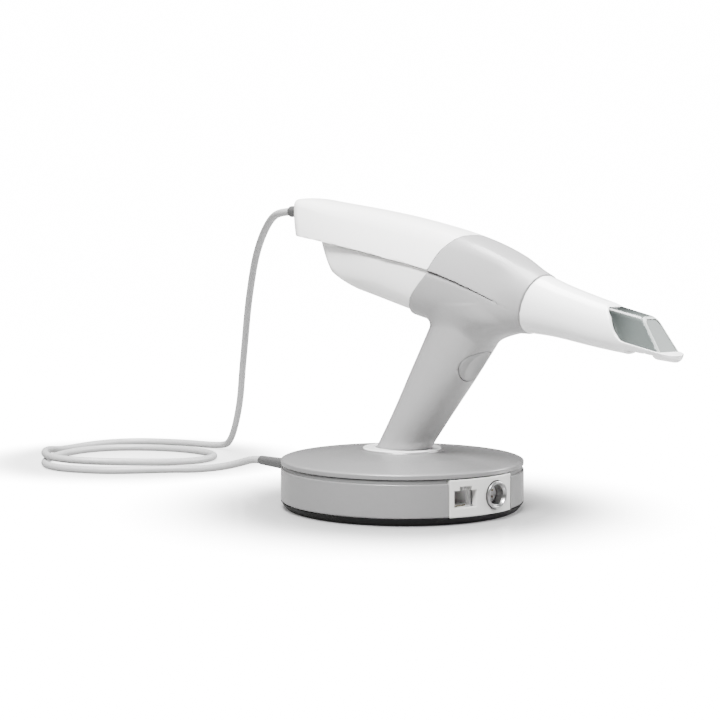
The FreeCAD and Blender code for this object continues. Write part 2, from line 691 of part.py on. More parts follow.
def make_front_housing():
    wall = dim("wall")
    gap = dim("seam_gap")
    nose = ring_block(0)
    outer = upper_solid(0, 0, 0).fuse(lower_solid(0, 3)).cut(seam_block(gap)).cut(nose)
    outer.Placement = barrel_frame()
    handle = handle_solid(0, dim("handle_low"), 104)
    body = blended(outer, handle)
    room = upper_solid(wall, wall + 1.5, -1).fuse(lower_solid(wall, 2))
    room = room.cut(seam_block(-30)).cut(ring_block(-1.5))
    bore = Part.makeCylinder(dim("nose_r") + 0.6, 60, Vector(60, 0, 0), Vector(1, 0, 0))
    room = room.fuse(bore)
    room.Placement = barrel_frame()
    hollow = handle_solid(-wall, dim("handle_low") - 2, 100)
    hole = trigger_plug(dim("button_long + button_gap"), dim("button_wide + button_gap"), 8, 6)
    shell = body.cut(room).cut(hollow).cut(hole)
    largest = max(shell.Solids, key=lambda piece: piece.Volume)
    node(solid("front_housing", largest), "front_housing")
    cap = handle_solid(-wall - 0.15, dim("handle_low"), dim("handle_low + cap_thick"), 3)
    node(solid("handle_cap", cap), "handle_cap")


def make_trigger():
    plug = trigger_plug(dim("button_long"), dim("button_wide"), dim("button_deep"), 6)
    outer = handle_solid(0, 50, 95)
    dish = Part.makeSphere(24)
    dish.Placement = trigger_frame().multiply(Placement(Vector(24 - 1.3, 0, 0), Rotation()))
    pad = plug.common(outer).cut(dish)
    stem = Part.makeCylinder(1.5, 3, Vector(-dim("button_deep") - 2.8, 0, 0), Vector(1, 0, 0))
    stem.Placement = trigger_frame()
    node(solid("trigger_button", pad.fuse(stem)), "trigger_button")
    back = -dim("button_deep") - 2.8
    switch = Part.makeBox(3.0, 6, 6, Vector(back - 1.2 - 3.0, -3, -3))
    node(solid("trigger_switch", switch, trigger_frame()), "trigger_switch")
    board = Part.makeBox(1.2, 16, 20, Vector(back - 1.2 - 3.0 - 1.2, -8, -10))
    node(solid("switch_board", board, trigger_frame()), "switch_board")


# ---------------------------------------------------------------- inside the barrel

def lens(name, radius, thick, curve, place):
    """A biconvex lens on the barrel's axis: two spheres and a cylinder in common."""
    rim = cylinder(name + "_rim", radius, thick, ("0", "0", "0"), Vector(1, 0, 0))
    rim.setExpression("Placement.Base.x", bound(place))
    balls = []
    for sign, letter in ((-1, "a"), (1, "b")):
        ball = drive(doc.addObject("Part::Sphere", name + "_ball_" + letter), Radius=curve)
        centre = "%s + ( %s ) / 2 + %d * ( %s - ( %s ) / 2 )" % (place, thick, sign, curve, thick)
        ball.setExpression("Placement.Base.x", bound(centre))
        balls.append(ball)
    item = doc.addObject("Part::MultiCommon", name)
    item.Shapes = [rim] + balls
    return node(in_barrel(item), name)


def make_optics():
    along = Vector(1, 0, 0)
    outside = cone("nose_outside", "nose_r", "nose_tip_r", "nose_long", ("nose_from", "0", "0"), along)
    inside = cone("nose_inside", "nose_bore", "nose_tip_bore", "nose_long", ("nose_from", "0", "0"), along)
    node(in_barrel(cut("nose_tube", outside, inside)), "nose_tube")
    glass_start = ("nose_from + nose_long - 2.2", "0", "0")
    glass = cylinder("nose_glass", "nose_tip_bore - 0.05", "glass_thick", glass_start, along)
    node(in_barrel(group("nose_window", [glass])), "nose_window")
    ring = drive(doc.addObject("Part::Torus", "nose_seal"), Radius1="nose_r + 0.1", Radius2="seal_r")
    ring.Placement = Placement(Vector(dim("seal_s"), 0, 0), Rotation(Vector(0, 0, 1), along))
    node(in_barrel(ring), "nose_seal")
    lens("objective_lens", "lens_r - 0.1", "3", "18", "nose_from + 4")
    lens("focus_lens", "lens_r - 0.6", "4", "14", "carriage_s + 2.5")
    lens("relay_lens", "lens_r - 0.6", "3", "20", "40.2")

    plate = box("frame_plate", ("-35", "-11", "-9.2"), ("119", "22", "2"))
    flange = cut("frame_flange_ring", cylinder("frame_flange", "10.2", "2", ("82", "0", "0"), along),
                 cylinder("frame_flange_bore", "nose_bore", "4", ("81", "0", "0"), along))
    post = cut("frame_post_bored", box("frame_post", ("38", "-11", "-8"), ("2", "22", "16")),
               cylinder("frame_post_bore", "lens_r - 1.4", "6", ("36", "0", "0"), along))
    slot = box("frame_coil_slot", ("carriage_s - 12", "-5.5", "-10"), ("17", "11", "4"))
    opened = cut("frame_plate_open", plate, slot)
    node(in_barrel(joined("optics_frame", opened, flange, post)), "optics_frame")

    rods = [cylinder("rod_%s" % side, "rod_r", "rod_long", ("rod_from", sign + "rod_y", "rod_q"), along)
            for side, sign in (("left", ""), ("right", "0 - "))]
    node(in_barrel(group("guide_rods", rods)), "guide_rods")

    block = box("carriage_block", ("carriage_s", "-11.2", "-6.8"), ("carriage_long", "22.4", "14"))
    bore = cylinder("carriage_bore", "lens_r - 0.5", "30", ("carriage_s - 5", "0", "0"), along)
    guides = [cylinder("carriage_guide_%s" % side, "rod_r + rod_fit", "30",
                       ("carriage_s - 5", sign + "rod_y", "rod_q"), along)
              for side, sign in (("left", ""), ("right", "0 - "))]
    bored = cut("carriage_bored", block, bore)
    node(in_barrel(cut("focus_carriage", bored, group("carriage_guides", guides))), "focus_carriage")
    coil = cut("voice_coil", cylinder("coil_outside", "7.9", "7", ("carriage_s - 7", "0", "0"), along),
               cylinder("coil_inside", "7.2", "9", ("carriage_s - 8", "0", "0"), along))
    coil.Label = "voice_coil"
    node(in_barrel(coil), "voice_coil")
    magnets = [box("magnet_left", ("46", "8.4", "-2"), ("10.5", "2.8", "9")),
               box("magnet_right", ("46", "-11.2", "-2"), ("10.5", "2.8", "9"))]
    node(in_barrel(group("voice_coil_magnets", magnets)), "voice_coil_magnets")

    cube = box("splitter_cube", ("20", "-6.5", "-7"), ("13", "13", "13.5"))
    node(in_barrel(group("beam_splitter", [cube])), "beam_splitter")
    chip = box("sensor_chip", ("10.6", "-6", "-5"), ("1.6", "12", "10"))
    node(in_barrel(group("image_sensor", [chip])), "image_sensor")
    panel = box("sensor_panel", ("9", "-9", "-7"), ("1.6", "18", "17"))
    node(in_barrel(group("sensor_board", [panel])), "sensor_board")
    node(in_barrel(joined("light_engine", box("led_board", ("18", "-8", "10"), ("17", "16", "1.6")),
                          box("led_die", ("24.5", "-2", "9.2"), ("4", "4", "0.8")))), "light_engine")
    condenser = cylinder("condenser", "4.8", "2.2", ("26.5", "0", "6.7"))
    node(in_barrel(group("light_lens", [condenser])), "light_lens")


def make_electronics():
    board = padded("main_board", rectangle("-66", "-9.5", "2", "9.5"), "board_thick")
    board.Placement = barrel_frame().multiply(Placement(Vector(0, 0, 8.6), Rotation()))
    node(board, "main_board")
    fins = [box("fin_%d" % index, ("-40", "%.1f" % (-7.5 + 3.0 * index), "12.2"), ("34", "1.0", "3.4"))
            for index in range(6)]
    base = box("sink_base", ("-40", "-8.5", "10.2"), ("34", "17", "2"))
    node(in_barrel(joined("heat_sink", base, *fins)), "heat_sink")
    chips = [box("chip_%d" % index, ("%d" % place, "-5", "7.4"), ("%d" % size, "10", "1.2"))
             for index, (place, size) in enumerate(((-58, 12), (-38, 16), (-14, 10)))]
    node(in_barrel(group("main_board_chips", chips)), "main_board_chips")


def make_gland():
    sleeve = cylinder("gland_sleeve", "3.0", "16", ("-70.7", "0", "147.3"), Vector(-1, 0, 0))
    collar = cylinder("gland_collar", "4.6", "2", ("-70.5", "0", "147.3"), Vector(-1, 0, 0))
    node(joined("cord_gland", sleeve, collar), "cord_gland")


# ---------------------------------------------------------------- removable tip

TIP_STATIONS = [
    # along the barrel, top, bottom, half width
    (86, 14.2, -14.2, 12.5), (91.5, 13.6, -13.5, 12.0), (103, 12.1, -12.0, 11.1), (116, 11.0, -11.1, 10.3),
    (130, 10.2, -10.3, 9.6), (145, 9.8, -9.0, 9.0), (158, 9.2, -8.0, 8.6), (172, 8.4, -7.2, 8.2)]


def tip_solid(inset):
    wires = []
    for place, top, bottom, half in TIP_STATIONS:
        middle = (top + bottom) / 2
        tall = (top - bottom) / 2 - inset
        wide = half - inset
        points = []
        for index in range(16):
            angle = 2 * math.pi * index / 16
            c = math.cos(angle)
            w = math.sin(angle)
            power = 2 / 2.3
            points.append(Vector(place, wide * math.copysign(abs(c) ** power, c),
                                 middle + tall * math.copysign(abs(w) ** power, w)))
        curve = Part.BSplineCurve()
        curve.interpolate(points, True)
        wires.append(Part.Wire([curve.toShape()]))
    return Part.makeLoft(wires, True, False)


def side_block(outline, half):
    """A straight-sided outline in the barrel's XZ plane, drawn out to both sides."""
    points = [Vector(place, -half, up) for place, up in outline]
    face = Part.Face(Part.makePolygon(points + [points[0]]))
    return face.extrude(Vector(0, 2 * half, 0))


FRAME_TOP = -3.1
FACE_TOP = (151.2, 9.0)
FACE_LOW = (164.3, -3.1)


def make_tip():
    wall = dim("tip_wall")
    start = long_box(80, 200).common(ring_block(0.3))
    front = Part.makeCylinder(9.4, 60, Vector(160.4, 0, -30))
    front = front.fuse(Part.makeBox(90, 60, 60, Vector(70, -30, -30)))
    tube_piece = tip_solid(0).common(start).common(front)
    opened = side_block([(129.8, 20), (130.2, 10.2), (134.2, 8.2), (138.2, 4.0), (141.0, 0.0),
                         (144.4, FRAME_TOP), (200, FRAME_TOP), (200, 20)], 30)
    hollow = tip_solid(wall).common(Part.makeBox(82, 60, 60, Vector(80, -30, -30)))
    lip_room = Part.makeBox(15.5, 12, 12, Vector(145.5, -6, -12))
    sleeve = tube_piece.cut(hollow).cut(opened).cut(lip_room)
    sleeve_piece = max(sleeve.Solids, key=lambda piece: piece.Volume)
    node(solid("tip_sleeve", sleeve_piece, barrel_frame()), "tip_sleeve")

    def wedge(inset):
        wires = []
        for place, low_half, high_half in ((126, 8.6, 6.8), (168, 6.7, 4.2)):
            corners = [Vector(place, -low_half + inset, FRAME_TOP),
                       Vector(place, low_half - inset, FRAME_TOP),
                       Vector(place, high_half - inset, 9.0),
                       Vector(place, -high_half + inset, 9.0)]
            wires.append(Part.makePolygon(corners + [corners[0]]))
        return Part.makeLoft(wires, True, True)

    outline = [(131.6, 9.0), FACE_TOP, FACE_LOW, (145.6, FRAME_TOP),
               (142.2, 0.2), (139.4, 4.2), (135.4, 8.4)]
    slope = math.atan2(FACE_TOP[1] - FACE_LOW[1], FACE_LOW[0] - FACE_TOP[0])
    skin = 1.2
    back = skin / math.sin(slope)
    inner = [(120, FACE_TOP[1] - skin), (FACE_TOP[0] - back + skin / math.tan(slope), FACE_TOP[1] - skin),
             (FACE_LOW[0] - back, FRAME_TOP), (150, -8), (120, -8)]
    shell = wedge(0).common(side_block(outline, 20)).cut(wedge(skin).common(side_block(inner, 20)))
    shell = shell.cut(sleeve)
    carrier = max(shell.Solids, key=lambda piece: piece.Volume)
    node(solid("tip_insert", carrier, barrel_frame()), "tip_insert")
    away = (math.sin(slope), math.cos(slope))
    mirror_line = [(FACE_TOP[0] + 2.2 - away[0] * skin * 1.05, FACE_TOP[1] - 2.0 - away[1] * skin * 1.05),
                   (FACE_LOW[0] - 0.9 - away[0] * skin * 1.05, FACE_LOW[1] + 0.9 - away[1] * skin * 1.05)]
    plate = side_block([mirror_line[0], mirror_line[1],
                        (mirror_line[1][0] - away[0], mirror_line[1][1] - away[1]),
                        (mirror_line[0][0] - away[0], mirror_line[0][1] - away[1])], 4.2)
    node(solid("tip_mirror", plate.common(wedge(skin + 0.1)), barrel_frame()), "tip_mirror")


# ---------------------------------------------------------------- the whole camera

window = panel_window()
make_foot(window)
make_base_wall(window)
make_band(window)
make_lid()
make_panel(window)
make_floor_pieces()
make_jack()
make_round_socket()
make_boards()
doc.recompute()
make_collar()
make_cup()
make_boot()
make_cords()
make_rear_covers()
make_front_housing()
make_trigger()
make_optics()
make_electronics()
make_gland()
make_tip()
doc.recompute()

for item in doc.Objects:
    if "Invalid" in item.State or "Error" in item.State:
        raise RuntimeError("%s did not build: %s" % (item.Label, item.State))
for item in NODES:
    if item.Shape.isNull() or not item.Shape.isValid():
        raise RuntimeError("%s has no valid shape" % item.Label)

os.makedirs("parts", exist_ok=True)
for item in NODES:
    item.Shape.exportStep("parts/%s.step" % item.Label)
    print("%-20s solids %d volume %.0f" % (item.Label, len(item.Shape.Solids), item.Shape.Volume))
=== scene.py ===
import json
import math
import bpy
import numpy as np
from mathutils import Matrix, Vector


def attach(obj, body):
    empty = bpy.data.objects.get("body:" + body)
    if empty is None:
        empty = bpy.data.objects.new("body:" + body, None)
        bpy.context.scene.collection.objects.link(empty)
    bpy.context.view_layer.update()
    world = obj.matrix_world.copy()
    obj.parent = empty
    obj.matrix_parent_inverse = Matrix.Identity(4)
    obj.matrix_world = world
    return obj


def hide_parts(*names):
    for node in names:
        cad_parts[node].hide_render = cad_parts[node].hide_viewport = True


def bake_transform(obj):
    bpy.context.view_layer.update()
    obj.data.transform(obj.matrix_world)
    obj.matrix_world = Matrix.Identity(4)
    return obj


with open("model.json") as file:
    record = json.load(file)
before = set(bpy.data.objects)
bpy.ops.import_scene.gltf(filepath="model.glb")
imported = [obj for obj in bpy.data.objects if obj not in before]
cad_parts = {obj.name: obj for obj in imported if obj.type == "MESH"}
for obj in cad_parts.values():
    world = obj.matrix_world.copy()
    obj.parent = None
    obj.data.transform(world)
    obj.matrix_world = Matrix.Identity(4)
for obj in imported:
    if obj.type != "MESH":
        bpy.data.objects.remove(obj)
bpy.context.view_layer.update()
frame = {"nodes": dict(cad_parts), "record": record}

# Pistol-grip intraoral camera in its desk base.  Shapes are worked out in millimetres in the
# row frame (X towards the tip, Y left, Z up) and written to the meshes in metres.
# Barrel pieces use the barrel's own axes: s along it towards the tip, y across, q square to it.

MM = 0.001
STEP = 0.7
PITCH = math.radians(12)
BARREL_HEIGHT = 120.9


# ---------------------------------------------------------------- camera

HEADING = math.radians(43)
CAMERA_DISTANCE = 0.718
CAMERA_HEIGHT = 0.121
CAMERA_YAW = math.radians(1.66)
CAMERA_DOWN = math.radians(3.88)
CAMERA_LENS = 73
CAMERA_SENSOR = 36


def make_camera():
    data = bpy.data.cameras.new("view")
    data.lens = CAMERA_LENS
    data.sensor_width = CAMERA_SENSOR
    data.clip_end = 20
    camera = bpy.data.objects.new("view", data)
    bpy.context.scene.collection.objects.link(camera)
    camera.location = (CAMERA_DISTANCE * math.cos(HEADING),
                       -CAMERA_DISTANCE * math.sin(HEADING),
                       CAMERA_HEIGHT)
    turn = HEADING - CAMERA_YAW
    level = math.cos(CAMERA_DOWN)
    ahead = Vector((-math.cos(turn) * level, math.sin(turn) * level, -math.sin(CAMERA_DOWN)))
    camera.rotation_euler = ahead.to_track_quat("-Z", "Y").to_euler()
    bpy.context.scene.camera = camera


def seen_from_camera(right, away, up):
    """A point given as seen from the camera's side of the base, in the row frame."""
    return (right * math.sin(HEADING) - away * math.cos(HEADING),
            right * math.cos(HEADING) + away * math.sin(HEADING), up)


make_camera()


# ---------------------------------------------------------------- curves and distances

class Spline:
    """Natural cubic spline through given values; straight beyond its ends."""

    def __init__(self, places, values):
        self.x = np.array(places, float)
        self.y = np.array(values, float)
        count = len(self.x)
        gap = np.diff(self.x)
        left = np.eye(count)
        right = np.zeros(count)
        for i in range(1, count - 1):
            left[i, i - 1] = gap[i - 1]
            left[i, i] = 2 * (gap[i - 1] + gap[i])
            left[i, i + 1] = gap[i]
            rise_after = (self.y[i + 1] - self.y[i]) / gap[i]
            rise_before = (self.y[i] - self.y[i - 1]) / gap[i - 1]
            right[i] = 6 * (rise_after - rise_before)
        self.bend = np.linalg.solve(left, right)
        self.gap = gap

    def parts(self, at):
        """The curve's value and its slope."""
        at = np.asarray(at, float)
        inside = np.clip(at, self.x[0], self.x[-1])
        k = np.clip(np.searchsorted(self.x, inside) - 1, 0, len(self.x) - 2)
        h = self.gap[k]
        a = (self.x[k + 1] - inside) / h
        b = 1 - a
        value = (a * self.y[k] + b * self.y[k + 1]
                 + ((a ** 3 - a) * self.bend[k] + (b ** 3 - b) * self.bend[k + 1]) * h * h / 6)
        slope = ((self.y[k + 1] - self.y[k]) / h
                 + ((3 * b * b - 1) * self.bend[k + 1] - (3 * a * a - 1) * self.bend[k]) * h / 6)
        return value + slope * (at - inside), slope

    def __call__(self, at):
        return self.parts(at)[0]


def both(a, b, radius):
    """Inside both regions, their common edge rounded."""
    corner = np.hypot(np.maximum(a + radius, 0), np.maximum(b + radius, 0))
    return np.minimum(np.maximum(a, b), -radius) + corner


def either(a, b, radius):
    """Inside either region, the inner corner between them filled."""
    corner = np.hypot(np.maximum(radius - a, 0), np.maximum(radius - b, 0))
    return np.maximum(np.minimum(a, b), radius) - corner


def oval(across, along, half_across, half_along, power, lean=0.0):
    """Distance to a superellipse; lean is how fast its middle moves sideways with height."""
    half_across = np.maximum(half_across, 0.5)
    half_along = np.maximum(half_along, 0.5)
    u = np.abs(across) / half_across
    v = np.abs(along) / half_along
    size = np.maximum((u ** power + v ** power) ** (1 / power), 1e-6)
    rise_u = (u / size) ** (power - 1) / half_across
    rise_v = (v / size) ** (power - 1) / half_along
    steep = np.sqrt(rise_u ** 2 * (1 + lean ** 2) + rise_v ** 2)
    return (size - 1) / np.maximum(steep, 1e-3)


def fade(value, start, end):
    """A smooth step from 0 at start to 1 at end."""
    t = np.clip((value - start) / (end - start), 0, 1)
    return t * t * (3 - 2 * t)


# ---------------------------------------------------------------- meshes from distances

def normals_at(surface, points):
    """Unit vectors square to the surface, from differences over a short reach."""
    reach = 0.02
    slope = np.empty_like(points)
    for axis in range(3):
        shift = np.zeros(3)
        shift[axis] = reach
        slope[:, axis] = surface(points + shift) - surface(points - shift)
    return slope / np.maximum(np.linalg.norm(slope, axis=1), 1e-12)[:, None]


def crossings(surface, value, low, step, axis):
    """Where the grid's edges along one axis pass through the surface."""
    head = [slice(None)] * 3
    tail = [slice(None)] * 3
    head[axis] = slice(None, -1)
    tail[axis] = slice(1, None)
    first = value[tuple(head)]
    second = value[tuple(tail)]
    index = np.argwhere((first < 0) != (second < 0))
    start = first[tuple(index.T)]
    end = second[tuple(index.T)]
    base = low + index * step
    near = np.zeros(len(index))
    far = np.ones(len(index))
    for _ in range(5):
        share = np.clip(start / (start - end), 0.05, 0.95)
        middle = near + (far - near) * share
        points = base.copy()
        points[:, axis] += middle * step
        here = surface(points)
        same = (here < 0) == (start < 0)
        near = np.where(same, middle, near)
        start = np.where(same, here, start)
        far = np.where(same, far, middle)
        end = np.where(same, end, here)
    share = start / (start - end)
    points = base.copy()
    points[:, axis] += (near + (far - near) * share) * step
    return index, points, first[tuple(index.T)] < 0


def contour(surface, low, high, step):
    """Vertices and quads of the region where the distance is negative, its sharp edges kept."""
    low = np.array(low, float)
    sides = [np.arange(a, b + step, step) for a, b in zip(low, high)]
    shape = [len(side) for side in sides]
    value = np.empty(shape)
    for i, x in enumerate(sides[0]):
        yy, zz = np.meshgrid(sides[1], sides[2], indexing="ij")
        points = np.stack([np.full(yy.size, x), yy.ravel(), zz.ravel()], 1)
        value[i] = surface(points).reshape(yy.shape)
    cells, spots, facing, quads = [], [], [], []
    for axis in range(3):
        index, points, starts_inside = crossings(surface, value, low, step, axis)
        normal = normals_at(surface, points)
        one = (axis + 1) % 3
        two = (axis + 2) % 3
        corners = []
        for a, b in ((0, 0), (1, 0), (1, 1), (0, 1)):
            cell = index.copy()
            cell[:, one] -= a
            cell[:, two] -= b
            flat = np.ravel_multi_index(cell.T, shape)
            corners.append(flat)
            cells.append(flat)
            spots.append(points)
            facing.append(normal)
        quad = np.stack(corners, 1)
        quad[~starts_inside] = quad[~starts_inside][:, ::-1]
        quads.append(quad)
    cells = np.concatenate(cells)
    spots = np.concatenate(spots)
    facing = np.concatenate(facing)
    names, place = np.unique(cells, return_inverse=True)
    count = np.bincount(place).astype(float)
    centre = np.stack([np.bincount(place, spots[:, k]) / count for k in range(3)], 1)
    local = spots - centre[place]
    height = np.sum(facing * local, 1)
    table = np.empty((len(names), 3, 3))
    right = np.empty((len(names), 3))
    for a in range(3):
        right[:, a] = np.bincount(place, facing[:, a] * height)
        for b in range(3):
            table[:, a, b] = np.bincount(place, facing[:, a] * facing[:, b])
    strength, way = np.linalg.eigh(table)
    keep = strength > 0.12 * strength[:, -1:]
    inverse = np.where(keep, 1 / np.maximum(strength, 1e-9), 0)
    move = np.einsum("nij,nj->ni", way, inverse * np.einsum("nji,nj->ni", way, right))
    corner = low + np.stack(np.unravel_index(names, shape), 1) * step
    vertices = np.clip(centre + move, corner - 0.02 * step, corner + 1.02 * step)
    quads = np.searchsorted(names, np.concatenate(quads))
    return vertices, quads


def mesh_object(name, vertices, faces, sharp=35):
    """A mesh object from points in millimetres in the row frame."""
    mesh = bpy.data.meshes.new(name)
    mesh.from_pydata((np.asarray(vertices, float) * MM).tolist(), [], [list(face) for face in faces])
    mesh.validate()
    mesh.shade_smooth()
    mesh.set_sharp_from_angle(angle=math.radians(sharp))
    item = bpy.data.objects.new(name, mesh)
    bpy.context.scene.collection.objects.link(item)
    return item


def barrel_local(points):
    """Points of the row frame in the barrel's axes."""
    up = points[:, 2] - BARREL_HEIGHT
    s = points[:, 0] * math.cos(PITCH) - up * math.sin(PITCH)
    q = points[:, 0] * math.sin(PITCH) + up * math.cos(PITCH)
    return s, points[:, 1], q


def barrel_to_row(points):
    s, y, q = points.T
    return np.stack([s * math.cos(PITCH) + q * math.sin(PITCH), y,
                     BARREL_HEIGHT - s * math.sin(PITCH) + q * math.cos(PITCH)], 1)


def finish_piece(item, body, slot, replaces=(), finish=None):
    """Puts a piece on its body, hides the CAD nodes it replaces and gives it its finish's material,
    or its slot's when it has no finish of its own.
    """
    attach(item, body)
    if replaces:
        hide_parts(*replaces)
    item.data.materials.clear()
    item.data.materials.append(MATERIALS[finish or slot])
    return item


def barrel_piece(name, surface, low, high, body, slot, replaces=(), step=None, finish=None):
    """A piece given by a distance in the barrel's axes."""
    vertices, quads = contour(lambda points: surface(*points.T), low, high, step or STEP)
    item = mesh_object(name, barrel_to_row(vertices), quads)
    return finish_piece(item, body, slot, replaces, finish)


def row_piece(name, surface, low, high, body, slot, replaces=(), step=None):
    """A piece given by a distance in the row frame."""
    vertices, quads = contour(surface, low, high, step or STEP)
    return finish_piece(mesh_object(name, vertices, quads), body, slot, replaces)


def turned(name, profile, body, slot, replaces=(), centre=(0, 0, 0), axis="z", steps=192,
           window=None):
    """A turned piece from a closed profile of (radius, height); window cuts it at two flat planes."""
    profile = np.array(profile, float)
    count = len(profile)
    rows = steps + 1 if window else steps
    points = np.empty((rows, count, 3))
    for k, (radius, height) in enumerate(profile):
        angle = np.arange(rows) * 2 * math.pi / steps
        if window:
            first = math.asin(window[1] / radius)
            last = 2 * math.pi + math.asin(window[0] / radius)
            angle = np.linspace(first, last, rows)
        points[:, k, 0] = radius * np.cos(angle)
        points[:, k, 1] = radius * np.sin(angle)
        points[:, k, 2] = height
    if axis == "x":
        points = points[:, :, [2, 0, 1]]
    points = points.reshape(-1, 3) + np.array(centre)
    faces = []
    for i in range(rows if not window else rows - 1):
        for k in range(count):
            a = i * count + k
            b = i * count + (k + 1) % count
            c = ((i + 1) % rows) * count + (k + 1) % count
            d = ((i + 1) % rows) * count + k
            faces.append((a, d, c, b))
    if window:
        faces.append(tuple(range(count)))
        faces.append(tuple(reversed(range((rows - 1) * count, rows * count))))
    item = mesh_object(name, points, faces)
    return finish_piece(item, body, slot, replaces)


def softened(profile, radius, steps=4):
    """A closed profile with its corners rounded."""
    profile = [np.array(point, float) for point in profile]
    result = []
    for k, corner in enumerate(profile):
        before = profile[k - 1] - corner
        after = profile[(k + 1) % len(profile)] - corner
        reach = min(radius, 0.45 * np.linalg.norm(before), 0.45 * np.linalg.norm(after))
        if corner[0] < 1e-6 or reach < 1e-6:
            result.append(corner)
            continue
        start = corner + before / np.linalg.norm(before) * reach
        end = corner + after / np.linalg.norm(after) * reach
        for t in np.linspace(0, 1, steps + 1):
            result.append((1 - t) ** 2 * start + 2 * t * (1 - t) * corner + t * t * end)
    return result


# ---------------------------------------------------------------- materials

def material(name, colour, rough, metal=0.0, grain=0.03, scale=900, bump=0.0, coat=0.0,
             glass=0.0, gloss=0.5):
    """A finish whose colour, roughness and surface vary a little from place to place."""
    made = bpy.data.materials.new(name)
    made.use_nodes = True
    nodes = made.node_tree.nodes
    links = made.node_tree.links
    shader = nodes["Principled BSDF"]
    where = nodes.new("ShaderNodeTexCoord")
    noise = nodes.new("ShaderNodeTexNoise")
    noise.inputs["Scale"].default_value = scale
    noise.inputs["Detail"].default_value = 4
    links.new(where.outputs["Object"], noise.inputs["Vector"])
    mix = nodes.new("ShaderNodeMix")
    mix.data_type = "RGBA"
    mix.inputs[6].default_value = [c * (1 - grain) for c in colour] + [1]
    mix.inputs[7].default_value = [min(c * (1 + grain), 1) for c in colour] + [1]
    links.new(noise.outputs["Fac"], mix.inputs[0])
    links.new(mix.outputs[2], shader.inputs["Base Color"])
    spread = nodes.new("ShaderNodeMapRange")
    spread.inputs["To Min"].default_value = max(rough - 0.05, 0.02)
    spread.inputs["To Max"].default_value = min(rough + 0.05, 1)
    links.new(noise.outputs["Fac"], spread.inputs["Value"])
    links.new(spread.outputs["Result"], shader.inputs["Roughness"])
    shader.inputs["Metallic"].default_value = metal
    shader.inputs["Specular IOR Level"].default_value = gloss
    shader.inputs["Coat Weight"].default_value = coat
    shader.inputs["Coat Roughness"].default_value = 0.12
    shader.inputs["Transmission Weight"].default_value = glass
    if bump:
        ripple = nodes.new("ShaderNodeBump")
        ripple.inputs["Strength"].default_value = bump
        ripple.inputs["Distance"].default_value = 0.0001
        links.new(noise.outputs["Fac"], ripple.inputs["Height"])
        links.new(ripple.outputs["Normal"], shader.inputs["Normal"])
    return made


def share_node(nodes, links, value, low, high, start, end):
    """A value mapped smoothly from one range to another."""
    node = nodes.new("ShaderNodeMapRange")
    node.interpolation_type = "SMOOTHERSTEP"
    node.inputs["From Min"].default_value = low
    node.inputs["From Max"].default_value = high
    node.inputs["To Min"].default_value = start
    node.inputs["To Max"].default_value = end
    links.new(value, node.inputs["Value"])
    return node.outputs["Result"]


def painted_shade_along_x(made, near, far, start, end):
    """Paints shade and light into a plastic's colour along X: darker or paler from near to far,
    standing in for how light falls on it.
    """
    nodes = made.node_tree.nodes
    links = made.node_tree.links
    where = nodes.new("ShaderNodeTexCoord")
    split = nodes.new("ShaderNodeSeparateXYZ")
    links.new(where.outputs["Object"], split.inputs[0])
    share = share_node(nodes, links, split.outputs["X"], near, far, start, end)
    shader = nodes["Principled BSDF"]
    colour = shader.inputs["Base Color"].links[0].from_socket
    scaled = nodes.new("ShaderNodeVectorMath")
    scaled.operation = "SCALE"
    links.new(colour, scaled.inputs[0])
    links.new(share, scaled.inputs["Scale"])
    links.new(scaled.outputs["Vector"], shader.inputs["Base Color"])


